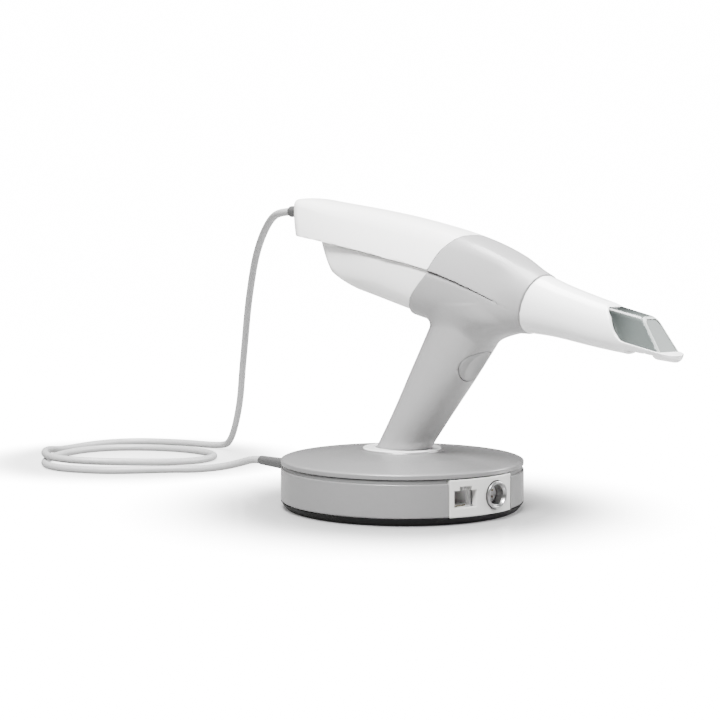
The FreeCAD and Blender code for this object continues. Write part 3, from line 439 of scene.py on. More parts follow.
FINISHES = {
    "foot_rubber": dict(colour=(0.004, 0.004, 0.004), rough=0.6, gloss=0.12),
    "base_grey": dict(colour=(0.144, 0.143, 0.144), rough=0.3, coat=0.15),
    "groove_grey": dict(colour=(0.12, 0.12, 0.12), rough=0.4),
    "panel_white": dict(colour=(0.46, 0.46, 0.447), rough=0.35, coat=0.2),
    "collar_white": dict(colour=(0.70, 0.70, 0.70), rough=0.3, coat=0.2),
    "plate_black": dict(colour=(0.03, 0.03, 0.03), rough=0.5, bump=0.2),
    "weight_steel": dict(colour=(0.45, 0.45, 0.46), rough=0.4, metal=1.0),
    "screw_steel": dict(colour=(0.6, 0.6, 0.61), rough=0.25, metal=1.0),
    "jack_grey": dict(colour=(0.60, 0.595, 0.595), rough=0.5),
    "contact_gold": dict(colour=(0.30, 0.27, 0.20), rough=0.45, metal=1.0),
    "socket_chrome": dict(colour=(0.32, 0.32, 0.32), rough=0.3, metal=1.0),
    "board_green": dict(colour=(0.02, 0.13, 0.05), rough=0.35, grain=0.15, scale=500),
    "chip_black": dict(colour=(0.02, 0.02, 0.02), rough=0.5),
    "post_brass": dict(colour=(0.7, 0.52, 0.28), rough=0.35, metal=1.0),
    # Near-black rubber for the cable boot and the cord gland; the gland is kept this dark so it also
    # stands in for the shaded gap where the cord enters the cover: partly painted shade.
    "boot_grey": dict(colour=(0.05, 0.05, 0.05), rough=0.55, bump=0.2),
    "cord_grey": dict(colour=(0.31, 0.31, 0.31), rough=0.45, grain=0.04, bump=0.1),
    "shell_white": dict(colour=(0.84, 0.835, 0.825), rough=0.33, coat=0.15),
    "shell_grey": dict(colour=(0.28, 0.277, 0.279), rough=0.36, coat=0.15),
    "button_grey": dict(colour=(0.26, 0.258, 0.26), rough=0.38),
    "nose_steel": dict(colour=(0.55, 0.55, 0.56), rough=0.3, metal=1.0),
    "optic_glass": dict(colour=(0.9, 0.95, 0.95), rough=0.05, glass=0.95, grain=0.01),
    "seal_rubber": dict(colour=(0.02, 0.02, 0.02), rough=0.5, bump=0.2),
    "frame_aluminium": dict(colour=(0.5, 0.51, 0.53), rough=0.4, metal=1.0),
    "coil_copper": dict(colour=(0.55, 0.24, 0.1), rough=0.35, metal=1.0, bump=0.4),
    "magnet_steel": dict(colour=(0.6, 0.6, 0.62), rough=0.2, metal=1.0),
    "sensor_black": dict(colour=(0.03, 0.03, 0.06), rough=0.1, coat=0.5),
    "led_board": dict(colour=(0.75, 0.75, 0.7), rough=0.4),
    "tip_white": dict(colour=(0.88, 0.88, 0.88), rough=0.24, coat=0.4),
    "insert_grey": dict(colour=(0.07, 0.08, 0.077), rough=0.22, coat=0.4),
    "frame_light": dict(colour=(0.34, 0.36, 0.35), rough=0.45, gloss=0.3),
    "plate_grey": dict(colour=(0.10, 0.112, 0.108), rough=0.5, gloss=0.25),
    "tip_mirror": dict(colour=(0.9, 0.9, 0.9), rough=0.03, metal=1.0, grain=0.01),
}
MATERIALS = {name: material(name, **finish) for name, finish in FINISHES.items()}


def finish_cad_nodes():
    """Gives every CAD node its slot's material and smooth shading between its edges."""
    for entry in frame["record"]["subparts"]:
        mesh = frame["nodes"][entry["node"]].data
        mesh.materials.clear()
        mesh.materials.append(MATERIALS[entry["material_slot"]])
        mesh.shade_smooth()
        mesh.set_sharp_from_angle(angle=math.radians(30))


# Painted shade: the mirror carrier's grey darkens towards its back, where it comes out of the tip's
# opening, and pales towards its slanted face.
painted_shade_along_x(MATERIALS["insert_grey"], 0.130, 0.153, 0.3, 1.25)
finish_cad_nodes()


# ---------------------------------------------------------------- cord

CORD_RADIUS = 2.1
COIL_STEP = 15
COIL_TOP = 6.4
DROP_ROUTE = [
    (-87, 0, 147.3), (-97, 0.2, 147.3), (-111, 5, 144.4), (-130, 13.5, 135.5), (-146, 21, 124),
    (-160, 28.5, 110), (-174, 36, 92), (-186, 43, 73), (-197, 49, 54), (-206, 54, 34.5),
    (-215, 57, 18), (-223.5, 59.3, 7.3), (-234, 62, 2.1)]
LEAD_ROUTE = [
    (-169, -21.8, 2.1), (-160.5, -14.6, 2.2), (-150, -7.8, 3.4), (-140, -3.2, 5.5), (-130, -1, 8.3),
    (-121.5, -0.1, 10.8), (-115, 0, 11)]
COIL_TURNS = [
    # angle round the coil, then right, away and up as seen from the camera's side
    (60, -140, 229, 2.1), (105, -178, 237, 2.1), (150, -206, 213, 2.1), (180, -215.5, 186, 3.0),
    (200, -217, 166, 5.8), (220, -214.5, 146, 6.4), (240, -206, 126, 6.4), (255, -194, 116, 6.3),
    (285, -164, 118, 4.8), (320, -130, 136, 2.6), (355, -114.5, 160, 2.1), (400, -128, 189, 2.1),
    (465, -175, 205, 2.1), (520, -206.5, 182, 2.1), (560, -213, 143, 2.1), (590, -203, 116, 2.1),
    (637, -156, 100, 2.1)]


def coil_points():
    """The coil's turns, at even angles through the places above."""
    angles, right, away, up = zip(*COIL_TURNS)
    tracks = [Spline(angles, values) for values in (right, away, up)]
    points = []
    for angle in range(angles[0], angles[-1], COIL_STEP):
        place = [float(track(angle)) for track in tracks]
        place[2] = min(max(place[2], CORD_RADIUS), COIL_TOP)
        points.append(seen_from_camera(*place))
    return points


def spline_line(name, points):
    """The points a smooth curve through the route passes, close together."""
    data = bpy.data.curves.new(name, "CURVE")
    data.dimensions = "3D"
    data.resolution_u = 8
    line = data.splines.new("NURBS")
    line.points.add(len(points) - 1)
    for point, place in zip(line.points, points):
        point.co = (place[0] * MM, place[1] * MM, place[2] * MM, 1)
    line.order_u = 3
    line.use_endpoint_u = True
    item = bpy.data.objects.new(name, data)
    bpy.context.scene.collection.objects.link(item)
    mesh = bpy.data.meshes.new_from_object(item)
    result = np.array([vertex.co for vertex in mesh.vertices]) / MM
    bpy.data.objects.remove(item)
    return result


def swept(line, radius, around=24):
    """A round tube along a line, closed by flat ends."""
    ahead = np.gradient(line, axis=0)
    ahead /= np.linalg.norm(ahead, axis=1)[:, None]
    side = np.cross(ahead[0], (0, 0, 1.0))
    points = []
    for place, way in zip(line, ahead):
        side = side - way * np.dot(side, way)
        side /= np.linalg.norm(side)
        over = np.cross(way, side)
        for k in range(around):
            turn = 2 * math.pi * k / around
            points.append(place + radius * (math.cos(turn) * side + math.sin(turn) * over))
    faces = []
    for i in range(len(line) - 1):
        for k in range(around):
            n = (k + 1) % around
            ring = i * around
            faces.append((ring + k, ring + n, ring + around + n, ring + around + k))
    faces.append(tuple(reversed(range(around))))
    faces.append(tuple(range((len(line) - 1) * around, len(line) * around)))
    return points, faces


def make_cord():
    line = spline_line("cord_line", DROP_ROUTE + coil_points() + LEAD_ROUTE)
    points, faces = swept(line, CORD_RADIUS)
    cord = mesh_object("cord", points, faces, 60)
    cord.data.materials.append(MATERIALS["cord_grey"])
    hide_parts("cord_drop", "cord_coil", "cord_lead")
    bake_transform(cord)


make_cord()


# ---------------------------------------------------------------- barrel

# Cross-sections along the barrel: the top of its dome, the half width and height of its
# shoulders, the half width at its side edge, the heights of that edge and of its keel.
STATIONS = [-88, -74, -58, -30, 0, 30, 55, 76, 96]
CROWN = Spline(STATIONS, [13.6, 17.9, 19.6, 21.4, 22.8, 22.9, 21.4, 17.7, 13.1])
SHOULDER = Spline(STATIONS, [10.2, 12.0, 12.7, 13.0, 13.2, 13.2, 12.6, 10.6, 7.6])
SHOULDER_TOP = Spline(STATIONS, [12.0, 15.9, 17.0, 18.3, 19.6, 19.9, 18.9, 15.8, 10.6])
FOOT = Spline(STATIONS, [13.2, 15.0, 16.3, 18.0, 19.0, 19.2, 18.4, 15.6, 11.0])
EDGE = Spline([-88, -74, -58, -30, 0, 30, 50, 62, 76, 88, 96],
              [-2.8, -1.5, -0.2, 1.6, 2.9, 3.6, 2.8, 1.3, -1.2, -4.0, -6.0])
KEEL = Spline(STATIONS, [-18.0, -19.4, -20.2, -20.4, -21.3, -22.3, -20.2, -17.0, -12.9])
# Where the white covers meet the housing: places along the barrel, over height.
SEAM = Spline([-30, -15, -7, 3, 13, 21, 30], [16, 24.5, 29.5, 36.6, 40.2, 45.5, 49])
NECK_S = [60, 76, 88, 98]
NECK_HALF = [18.6, 15.9, 13.3, 11.9]
DOME_POWER = 2.6
FLANK_BULGE = 1.76
WALL = 2.0
SEAM_GAP = 0.15
UPPER_TAIL = -74.0
LOWER_TAIL = -54.5
TAIL_LEAN = 0.6
TAIL_STEEP = 1.166
TAIL_CORNER = 11.5
OUTLET_HEIGHT = 147.3
OUTLET_R = 3.6
RING_S = 91.2
RING_TILT = math.radians(7.6)


def seam_side(s, q):
    """Distance ahead of the seam between the white covers and the front housing."""
    line, slope = SEAM.parts(q)
    return (s - line) / np.sqrt(1 + slope ** 2)


def ring_side(s, q):
    """Distance ahead of the ring where the tip meets the housing."""
    return (s - RING_S) * math.cos(RING_TILT) - q * math.sin(RING_TILT)


def upper_faces(s, y, q):
    """Distances to the barrel's domed top and to its leaning flanks."""
    across = np.abs(y)
    crown = CROWN(s)
    shoulder = SHOULDER(s)
    top = SHOULDER_TOP(s)
    foot = FOOT(s)
    edge = EDGE(s)
    fall = (crown - top - 0.6) / (shoulder - 1.4) ** DOME_POWER
    tilt = DOME_POWER * fall * across ** (DOME_POWER - 1)
    dome = (q - crown + fall * across ** DOME_POWER) / np.sqrt(1 + tilt ** 2)
    span = top - 1.6 - edge
    share = (q - edge) / span
    lean = shoulder + 0.5 - foot
    side = foot + lean * share + FLANK_BULGE * share * (1 - share)
    slope = (lean + FLANK_BULGE * (1 - 2 * share)) / span
    return dome, (across - side) / np.sqrt(1 + slope ** 2)


def behind_tail(s, q, tail):
    """Distance behind the leaning end of a cover."""
    return (tail - TAIL_LEAN * q - s) / TAIL_STEEP


def upper_skin(s, y, q, tail=None):
    """Distance to the barrel above its side groove."""
    dome, flank = upper_faces(s, y, q)
    if tail is not None:
        flank = both(flank, behind_tail(s, q, tail), TAIL_CORNER)
    return both(dome, flank, 2.2)


def lower_skin(s, y, q, tail=None):
    """Distance to the barrel below its side groove; the groove is a cove under the upper edge."""
    edge = EDGE(s)
    behind_seam = 1 - fade(s, -10, 40)
    set_in = 0.4 * (1 - fade(s, 60, 86)) + 0.5 * behind_seam
    depth = 1.5 * (1 - fade(s, 40, 86)) + 0.7 * behind_seam
    tall = 3.4 - 1.6 * fade(s, 20, 86)
    slot = 0.7 * (1 - fade(s, 78, 92)) * (1 - fade(edge - q, 0.35, 0.75))
    cove = depth * (1 - np.clip((edge - q) / tall, 0, 1)) ** 2 + slot
    skin = oval(y, np.maximum(edge - q, 0), FOOT(s) - set_in - cove, edge - KEEL(s), 2.6)
    if tail is not None:
        spread = 14 + 4.5 * fade(s, tail + 6, tail + 60)
        ends = both(np.abs(y) - spread, behind_tail(s, q, tail), TAIL_CORNER)
        skin = both(skin, ends, 2)
        rise = oval(np.minimum(s + 18, 0), np.minimum(q - 1, 0), 36.5, 22.5, 1.5)
        skin = both(skin, rise, 6)
    return skin


def rear_upper(s, y, q):
    """The upper white cover: a shell with a floor at its tail and a hole for the cord."""
    skin = upper_skin(s, y, q, UPPER_TAIL)
    edge = EDGE(s)
    outside = both(skin, edge - q, 0.6)
    outside = both(outside, seam_side(s, q) + SEAM_GAP, 0.3)
    floor = edge + WALL - q - 30 * np.clip((s + 36) / 8, 0, 1)
    outlet = np.hypot(y, barrel_height(s, q) - OUTLET_HEIGHT) - OUTLET_R
    room = np.maximum(skin + WALL, floor)
    return np.maximum(outside, -np.minimum(room, np.maximum(outlet, s + 60)))


def barrel_height(s, q):
    """Height above the desk of a place in the barrel's axes."""
    return BARREL_HEIGHT - s * math.sin(PITCH) + q * math.cos(PITCH)


def rear_lower(s, y, q):
    """The lower white cover: a shell open at the top and at the seam."""
    skin = lower_skin(s, y, q, LOWER_TAIL)
    outside = both(skin, seam_side(s, q) + SEAM_GAP, 0.3)
    outside = np.maximum(outside, q - EDGE(s) - 0.8)
    return np.maximum(outside, -(skin + WALL))


def barrel_skin(s, y, q):
    """The whole barrel; its side groove dies out towards the ring."""
    edge = EDGE(s)
    upper = upper_skin(s, y, q)
    lower = lower_skin(s, y, q)
    grooved = np.minimum(both(upper, edge - q, 0.4), np.maximum(lower, q - edge - 0.8))
    crown = CROWN(s)
    keel = KEEL(s)
    half = np.interp(s, NECK_S, NECK_HALF)
    smooth = oval(y, q - (crown + keel) / 2, half, (crown - keel) / 2, 2.15)
    share = fade(s, 72, 90)
    return grooved + (smooth - grooved) * share


# ---------------------------------------------------------------- handle and front housing

HANDLE_HEIGHTS = [14, 30, 53, 66, 80, 94, 106]
HANDLE_X = Spline(HANDLE_HEIGHTS, [12.9, 13.9, 16.3, 18.1, 19.6, 21.0, 22.0])
HANDLE_Y = Spline(HANDLE_HEIGHTS, [11.8, 12.2, 12.7, 13.1, 13.5, 14.0, 14.4])
HANDLE_START = -21.3
HANDLE_LEAN = 0.79
HANDLE_BEND = 0.00055
HANDLE_FOOT = 14
HANDLE_CAP = 98
JOIN_BACK = 4.0
JOIN_FRONT = 13.0
NOSE_BORE_R = 9.6
TRIGGER_HEIGHT = 71.7
TRIGGER_TURN = math.radians(39.3)
TRIGGER_HALF = (8.6, 9.2)
TRIGGER_THICK = 4.2
TRIGGER_GAP = 0.3
DISH_R = 24


def handle_centre(z):
    """Where the leaning handle's middle is at a height."""
    return HANDLE_START + HANDLE_LEAN * z - HANDLE_BEND * z * z


def handle_skin(points):
    """Distance to the handle's outside."""
    x, y, z = points.T
    lean = HANDLE_LEAN - 2 * HANDLE_BEND * z
    return oval(x - handle_centre(z), y, HANDLE_X(z), HANDLE_Y(z), 2.25, lean)


def trigger_local(points):
    """Out of the handle, across it and up along it, from the middle of the trigger."""
    x = points[:, 0] - (handle_centre(TRIGGER_HEIGHT) + float(HANDLE_X(TRIGGER_HEIGHT)))
    z = points[:, 2] - TRIGGER_HEIGHT
    level = math.cos(TRIGGER_TURN)
    steep = math.sin(TRIGGER_TURN)
    return x * level - z * steep, points[:, 1], x * steep + z * level


def trigger_outline(points, grow):
    """Distance to the trigger's oval, as a passage into the handle."""
    out, across, along = trigger_local(points)
    outline = oval(across, along, TRIGGER_HALF[0] + grow, TRIGGER_HALF[1] + grow, 2.0)
    return np.maximum(outline, -out - 8)


def housing(points):
    """The grey moulding: the barrel's front and the handle in one hollow piece."""
    s, y, q = barrel_local(points)
    skin = barrel_skin(s, y, q)
    handle = np.maximum(handle_skin(points), points[:, 2] - HANDLE_CAP)
    ring = ring_side(s, q)
    join = JOIN_BACK + (JOIN_FRONT - JOIN_BACK) * fade(s, 52, 82) * fade(-q, 2, 14)
    body = either(skin, handle, join)
    cut = np.maximum(skin - 0.3, seam_side(s, q) - SEAM_GAP)
    body = both(body, -cut, 0.3)
    body = both(body, ring, 0.35)
    body = both(body, HANDLE_FOOT - points[:, 2], 0.8)
    hollow = np.maximum(np.minimum(skin, handle) + WALL, ring + 1.5)
    bore = np.maximum(np.hypot(y, q) - NOSE_BORE_R, 60 - s)
    body = np.maximum(body, -np.minimum(hollow, bore))
    return both(body, -trigger_outline(points, TRIGGER_GAP), 0.3)


def trigger(points):
    """The button, dished for a finger."""
    out, across, along = trigger_local(points)
    dish = np.sqrt((out - 22.5) ** 2 + across ** 2 + along ** 2) - DISH_R
    body = both(handle_skin(points), trigger_outline(points, 0), 0.5)
    body = both(body, -dish, 0.4)
    return np.maximum(body, -out - TRIGGER_THICK)


def make_shells():
    barrel_piece("rear_upper_cover_skin", rear_upper, (-86, -22, -6), (52, 22, 27),
                 "handpiece", "shell_white", ["rear_upper_cover"])
    barrel_piece("rear_lower_cover_skin", rear_lower, (-58, -22, -26), (44, 22, 7),
                 "handpiece", "shell_white", ["rear_lower_cover"])
    row_piece("front_housing_skin", housing, (-27, -23, 11), (102, 23, 138),
              "handpiece", "shell_grey", ["front_housing"])
    row_piece("trigger_pad", trigger, (38, -11, 58), (66, 11, 84),
              "trigger", "button_grey", ["trigger_button"], 0.5 * STEP)


make_shells()


# ---------------------------------------------------------------- tip

TIP_STATIONS = [86, 91.5, 103, 116, 130, 145, 158, 172]
TIP_TOP = Spline(TIP_STATIONS, [14.2, 13.6, 12.1, 11.0, 10.2, 9.8, 9.2, 8.4])
TIP_LOW = Spline(TIP_STATIONS, [-14.2, -13.5, -12.0, -11.1, -10.3, -9.0, -7.7, -6.0])
TIP_HALF = Spline(TIP_STATIONS, [12.5, 12.0, 11.1, 10.3, 9.6, 9.0, 8.6, 8.2])
CUT_S = [129.4, 130.2, 134.2, 138.2, 141.0, 144.4, 146.0, 190]
CUT_Q = [18, 10.4, 8.3, 4.1, 0.2, -2.7, -3.1, -3.1]
TIP_WALL = 1.5
TIP_END = 169.8
NOSE_S = 160.4
NOSE_R = 9.4
NOSE_SPREAD = 0.2
LIP_S = 162
WINDOW_S = 153.2
WINDOW_LONG = 7.7
WINDOW_WIDE = 6
FRAME_TOP = -3.1
CARRIER_BACK = 126
CARRIER_LENGTH = 42
CARRIER_TOP = 9.0
FACE_TOP = (151.2, CARRIER_TOP)
FACE_SLOPE = math.radians(42.7)


def tip_skin(s, y, q):
    """Distance to the white tip's outside: an oval that tapers to a round end."""
    top = TIP_TOP(s)
    low = TIP_LOW(s)
    side = oval(y, q - (top + low) / 2, TIP_HALF(s), (top - low) / 2, 2.15)
    round_end = np.hypot(np.maximum(s - NOSE_S, 0), y) - NOSE_R
    nose = round_end - NOSE_SPREAD * np.maximum(NOSE_S - s, 0)
    return both(side, np.maximum(nose, s - TIP_END), 1.2)


def cut_side(s, q):
    """Distance above the edge where the white tip is cut open."""
    reach = 0.7
    lines = [np.interp(s + shift, CUT_S, CUT_Q) for shift in (-reach, 0, reach)]
    slope = (lines[2] - lines[0]) / (2 * reach)
    return (q - sum(lines) / 3) / np.sqrt(1 + slope ** 2)


def tip_sleeve(s, y, q):
    """The white tip: a shell with the mirror's opening above and a window below."""
    skin = tip_skin(s, y, q)
    body = both(skin, 0.3 - ring_side(s, q), 0.5)
    body = both(body, cut_side(s, q), 0.35)
    room = np.maximum(skin + TIP_WALL, s - LIP_S)
    window = np.maximum(np.abs(y) - WINDOW_WIDE, np.abs(s - WINDOW_S) - WINDOW_LONG)
    window = np.maximum(window, q - 1)
    body = np.maximum(body, -room)
    return both(body, -window, 0.4)


def face_side(s, q):
    """Distance ahead of the slanted face behind the mirror."""
    return (s - FACE_TOP[0]) * math.sin(FACE_SLOPE) + (q - FACE_TOP[1]) * math.cos(FACE_SLOPE)


def insert_half(s, q, shrink):
    """Half width of the mirror carrier: narrow at the top and towards the end."""
    up = np.clip((q - FRAME_TOP) / (CARRIER_TOP - FRAME_TOP), -0.3, 1.2)
    along = (s - CARRIER_BACK) / CARRIER_LENGTH
    low_half = 8.6 - 1.9 * along
    high_half = 6.8 - 2.6 * along
    return low_half + (high_half - low_half) * up - shrink


def carrier_outline(s, y, q, shrink):
    """Distance to the mirror carrier's cross-section, its top corners rounded."""
    return both(np.abs(y) - insert_half(s, q, shrink), q - CARRIER_TOP + shrink, 2.3)


def tip_insert(s, y, q):
    """The mirror carrier: free above the edge of the tip's opening, inside the wall below."""
    face = face_side(s, q)
    body = both(carrier_outline(s, y, q, 0.15), face + 0.5, 0.25)
    body = np.maximum(body, FRAME_TOP - 1.2 - q)
    above = cut_side(s, q)
    inside = tip_skin(s, y, q) + TIP_WALL + 0.1
    body = np.maximum(body, np.minimum(0.12 - above, np.maximum(inside, -1.5 - above)))
    hollow = np.maximum(carrier_outline(s, y, q, 2.0), face + 2.0)
    return np.maximum(body, -hollow)


def face_frame(s, y, q):
    """The pale rim round the slanted face."""
    face = face_side(s, q)
    edge = carrier_outline(s, y, q, 0.45)
    ring = np.maximum(edge, -carrier_outline(s, y, q, 1.0))
    ring = both(ring, face - 0.3, 0.2)
    ring = np.maximum(ring, FRAME_TOP - 0.4 - q)
    return np.maximum(ring, -face - 1.2)


def face_plate(s, y, q):
    """The plate inside that rim."""
    face = face_side(s, q)
    plate = np.maximum(carrier_outline(s, y, q, 1.25), face)
    plate = np.maximum(plate, FRAME_TOP - 0.4 - q)
    return np.maximum(plate, -face - 1.2)


def make_tip():
    barrel_piece("tip_sleeve_skin", tip_sleeve, (87, -15, -16), (172, 15, 16),
                 "tip", "tip_white", ["tip_sleeve"], 0.8 * STEP)
    barrel_piece("tip_carrier", tip_insert, (CARRIER_BACK, -10, -6), (168, 10, 11),
                 "tip", "insert_grey", ["tip_insert"], 0.5 * STEP)
    barrel_piece("tip_face_frame", face_frame, (146, -9, -6), (168, 9, 11),
                 "tip", "insert_grey", [], 0.35 * STEP, "frame_light")
    barrel_piece("tip_face_plate", face_plate, (146, -9, -6), (168, 9, 11),
                 "tip", "insert_grey", [], 0.5 * STEP, "plate_grey")


make_tip()


# ---------------------------------------------------------------- desk base

BASE_R = 60.0
PANEL_Y = -2.8
PANEL_HALF = 19.2
PANEL_GAP = 0.6
COLLAR_R = 19.3
JACK = (-14.1, 11.9)
PLUG = (4.1, 12.2)
PLUG_HOLE_R = 6.85
PANEL_Z = 12.25
PANEL_TALL = 8.75
PANEL_BACK_R = 57.2
MOUTH_HALF = (5.9, 4.0)
LATCH_HALF = (3.2, 2.6)
LATCH_UP = 3.2
COLLAR_TOP = 29.3
FOOT_PROFILE = [(40, 0), (57.2, 0), (58.2, 0.9), (60, 3.5), (50, 3.5), (40, 1.4)]
WALL_PROFILE = [(57, 3.6), (59.5, 3.6), (60, 4.3), (60, 19.4), (57, 19.4)]
BAND_PROFILE = [(54.4, 19.3), (59.1, 19.3), (59.1, 21.2), (54.4, 21.2)]
LID_PROFILE = [
    (54, 21.5), (59.9, 21.5), (60, 23.6), (58.6, 24.2), (48, 25.3), (37.3, 26.7), (26, 27.7),
    (20.4, 28.0), (19.9, 28.85), (19.4, 28.85), (19.4, 27.8), (18.2, 27.8), (18.2, 25.2),
    (37.3, 24.3), (54, 22.2)]
SOCKET_PROFILE = [
    (4.6, 47.7), (6.3, 47.7), (6.3, 60.1), (6.5, 60.1), (6.5, 61.0), (6.1, 61.3), (5.4, 61.3),
    (4.9, 60.4), (4.6, 60.2)]
BOOT_PROFILE = [
    (0, 57), (4.5, 57), (4.5, 61), (3.9, 66), (3.0, 96), (2.5, 114.2), (2.2, 115), (0, 115)]
BOOT_HEIGHT = 11


def make_base():
    window = (PANEL_Y - PANEL_HALF - PANEL_GAP, PANEL_Y + PANEL_HALF + PANEL_GAP)
    turned("foot_pad_skin", softened(FOOT_PROFILE, 0.3), "base", "foot_rubber", ["foot_pad"])
    turned("base_wall_skin", softened(WALL_PROFILE, 0.5), "base", "base_grey", ["base_wall"],
           window=window)
    turned("trim_band_skin", softened(BAND_PROFILE, 0.15), "base", "groove_grey", ["trim_band"],
           window=window)
    turned("base_lid_skin", softened(LID_PROFILE, 0.45), "base", "base_grey", ["base_lid"])


def collar(points):
    """The white ring in the lid, its hole shaped to the handle."""
    x, y, z = points.T
    radius = np.hypot(x, y)
    ring = both(radius - COLLAR_R, z - COLLAR_TOP, 0.6)
    ring = both(ring, 27.9 - z, 0.1)
    spigot = np.maximum(np.maximum(radius - 18, 24 - z), z - 28)
    passage = handle_skin(points) - 0.5
    return both(np.minimum(ring, spigot), -passage, 0.35)


def port_outline(points, grow):
    """The jack's mouth with its latch notch, as a passage along X."""
    _, y, z = points.T
    across = np.abs(y - JACK[0])
    mouth = np.maximum(across - MOUTH_HALF[0], np.abs(z - JACK[1]) - MOUTH_HALF[1])
    latch = np.maximum(across - LATCH_HALF[0], np.abs(z - JACK[1] - LATCH_UP) - LATCH_HALF[1])
    return np.minimum(mouth, latch) - grow


def panel(points):
    """The pale panel round the two ports, curved as the wall is."""
    x, y, z = points.T
    radius = np.hypot(x, y)
    body = both(np.abs(y - PANEL_Y) - PANEL_HALF, np.abs(z - PANEL_Z) - PANEL_TALL, 0.6)
    body = both(body, radius - BASE_R - 0.05, 0.5)
    body = np.maximum(body, PANEL_BACK_R - radius)
    body = both(body, -port_outline(points, 0), 0.25)
    return both(body, PLUG_HOLE_R - np.hypot(y - PLUG[0], z - PLUG[1]), 0.2)


def jack_body(points):
    """The jack's box behind the panel, open at its mouth."""
    x, y, z = points.T
    shell = both(both(np.abs(y - JACK[0]) - 7.0, np.abs(z - JACK[1] - 0.8) - 6.2, 0.3),
                 np.maximum(x - 55.0, 41 - x), 0.3)
    mouth = np.where(x > 53.5, port_outline(points, 0), port_outline(points, -0.8))
    inside = np.maximum(mouth, 43.5 - x)
    return np.maximum(shell, -inside)


def mirrored_in_x(item):
    for vertex in item.data.vertices:
        vertex.co.x = -vertex.co.x
    item.data.flip_normals()


def make_ports():
    row_piece("socket_collar_skin", collar, (-21, -21, 23), (21, 21, 30.5),
              "base", "collar_white", ["socket_collar"], 0.8 * STEP)
    row_piece("port_panel_skin", panel, (51, -23, 0), (61, 18, 22),
              "base", "panel_white", ["port_panel"], 0.5 * STEP)
    row_piece("network_jack_body", jack_body, (40, -23, 4), (57, -5, 21),
              "base", "jack_grey", ["network_jack"], 0.6 * STEP)
    turned("socket_shell_skin", softened(SOCKET_PROFILE, 0.25), "base", "socket_chrome",
           ["socket_shell"], centre=(0, PLUG[0], PLUG[1]), axis="x", steps=64)
    boot = turned("cable_boot_skin", softened(BOOT_PROFILE, 0.3), "base", "boot_grey",
                  ["cable_boot"], centre=(0, 0, BOOT_HEIGHT), axis="x", steps=64)
    mirrored_in_x(boot)


make_base()
make_ports()


# ---------------------------------------------------------------- floor and light

SKY_WHITE = 20
FLOOR_WHITE = 16
FLOOR_HALF = 4.0
FLOOR_DROP = -0.0002
COIL_MIDDLE = (-0.235, -0.005, 0)
LIGHT_TARGET = Vector((0.0, 0.0, 0.09))


def make_world():
    """White where it is seen; as light, brighter overhead than round the sides."""
    world = bpy.data.worlds.new("studio")
    bpy.context.scene.world = world
    world.use_nodes = True
    nodes = world.node_tree.nodes
    links = world.node_tree.links
    sky = nodes["Background"]
    where = nodes.new("ShaderNodeTexCoord")
    split = nodes.new("ShaderNodeSeparateXYZ")
    links.new(where.outputs["Generated"], split.inputs["Vector"])
    strength = share_node(nodes, links, split.outputs["Z"], 0.0, 0.9, 1.0, 2.2)
    links.new(strength, sky.inputs["Strength"])
    seen = nodes.new("ShaderNodeBackground")
    seen.inputs["Strength"].default_value = SKY_WHITE
    path = nodes.new("ShaderNodeLightPath")
    mix = nodes.new("ShaderNodeMixShader")
    links.new(path.outputs["Is Camera Ray"], mix.inputs[0])
    links.new(sky.outputs[0], mix.inputs[1])
    links.new(seen.outputs[0], mix.inputs[2])
    links.new(mix.outputs[0], nodes["World Output"].inputs["Surface"])


def spread_from(nodes, links, middle, near, far, start, end):
    """A value that changes with distance from a place on the floor."""
    where = nodes.new("ShaderNodeTexCoord")
    distance = nodes.new("ShaderNodeVectorMath")
    distance.operation = "DISTANCE"
    distance.inputs[1].default_value = middle
    links.new(where.outputs["Object"], distance.inputs[0])
    return share_node(nodes, links, distance.outputs["Value"], near, far, start, end)


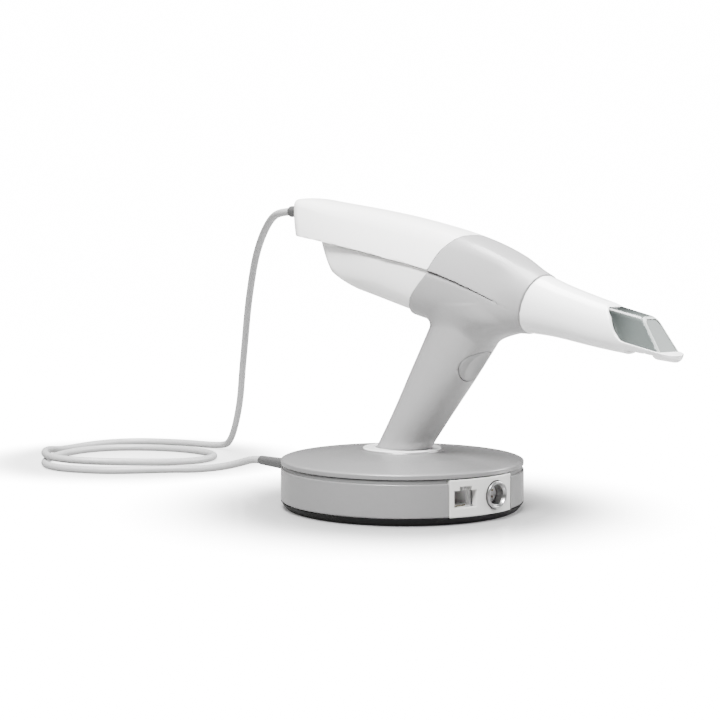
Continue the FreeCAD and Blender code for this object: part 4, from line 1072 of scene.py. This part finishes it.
def make_floor():
    """A pale glossy floor whose glow, seen only by the camera, turns white away from the base and the
    coil and drops near them: a painted shadow round each.
    """
    made = material("floor_pale", (0.30, 0.30, 0.30), 0.13, grain=0.004, scale=20)
    nodes = made.node_tree.nodes
    links = made.node_tree.links
    # Painted shadow: the glow falls to almost nothing round the base and to a dim grey inside the
    # coil.
    glow_with_base_shade = spread_from(nodes, links, (0, 0, 0), 0.060, 0.165, 0.2, FLOOR_WHITE)
    glow_with_coil_shade = spread_from(nodes, links, COIL_MIDDLE, 0.064, 0.125, 3.0, FLOOR_WHITE)
    least = nodes.new("ShaderNodeMath")
    least.operation = "MINIMUM"
    links.new(glow_with_base_shade, least.inputs[0])
    links.new(glow_with_coil_shade, least.inputs[1])
    lit = nodes.new("ShaderNodeEmission")
    links.new(least.outputs[0], lit.inputs["Strength"])
    path = nodes.new("ShaderNodeLightPath")
    dark = nodes.new("ShaderNodeEmission")
    dark.inputs["Strength"].default_value = 0
    seen = nodes.new("ShaderNodeMixShader")
    links.new(path.outputs["Is Camera Ray"], seen.inputs[0])
    links.new(dark.outputs[0], seen.inputs[1])
    links.new(lit.outputs[0], seen.inputs[2])
    total = nodes.new("ShaderNodeAddShader")
    links.new(nodes["Principled BSDF"].outputs[0], total.inputs[0])
    links.new(seen.outputs[0], total.inputs[1])
    links.new(total.outputs[0], nodes["Material Output"].inputs["Surface"])
    half = FLOOR_HALF
    corners = [(-half, -half, 0), (half, -half, 0), (half, half, 0), (-half, half, 0)]
    mesh = bpy.data.meshes.new("floor")
    mesh.from_pydata(corners, [], [(0, 1, 2, 3)])
    mesh.materials.append(made)
    floor = bpy.data.objects.new("floor", mesh)
    floor.location.z = FLOOR_DROP
    bpy.context.scene.collection.objects.link(floor)


def add_light(name, right, away, up, size, power):
    """A soft rectangular light that faces the object."""
    data = bpy.data.lights.new(name, "AREA")
    data.shape = "RECTANGLE"
    data.size = size[0]
    data.size_y = size[1]
    data.energy = power
    lamp = bpy.data.objects.new(name, data)
    lamp.location = seen_from_camera(right, away, up)
    aim = LIGHT_TARGET - lamp.location
    lamp.rotation_euler = aim.to_track_quat("-Z", "Y").to_euler()
    bpy.context.scene.collection.objects.link(lamp)


make_world()
make_floor()
add_light("key", -0.2, -0.8, 1.25, (0.6, 0.45), 100)
add_light("top", -0.1, 0.1, 1.4, (0.8, 0.6), 65)
add_light("right", 1.0, 0.3, 0.5, (0.4, 0.6), 24)
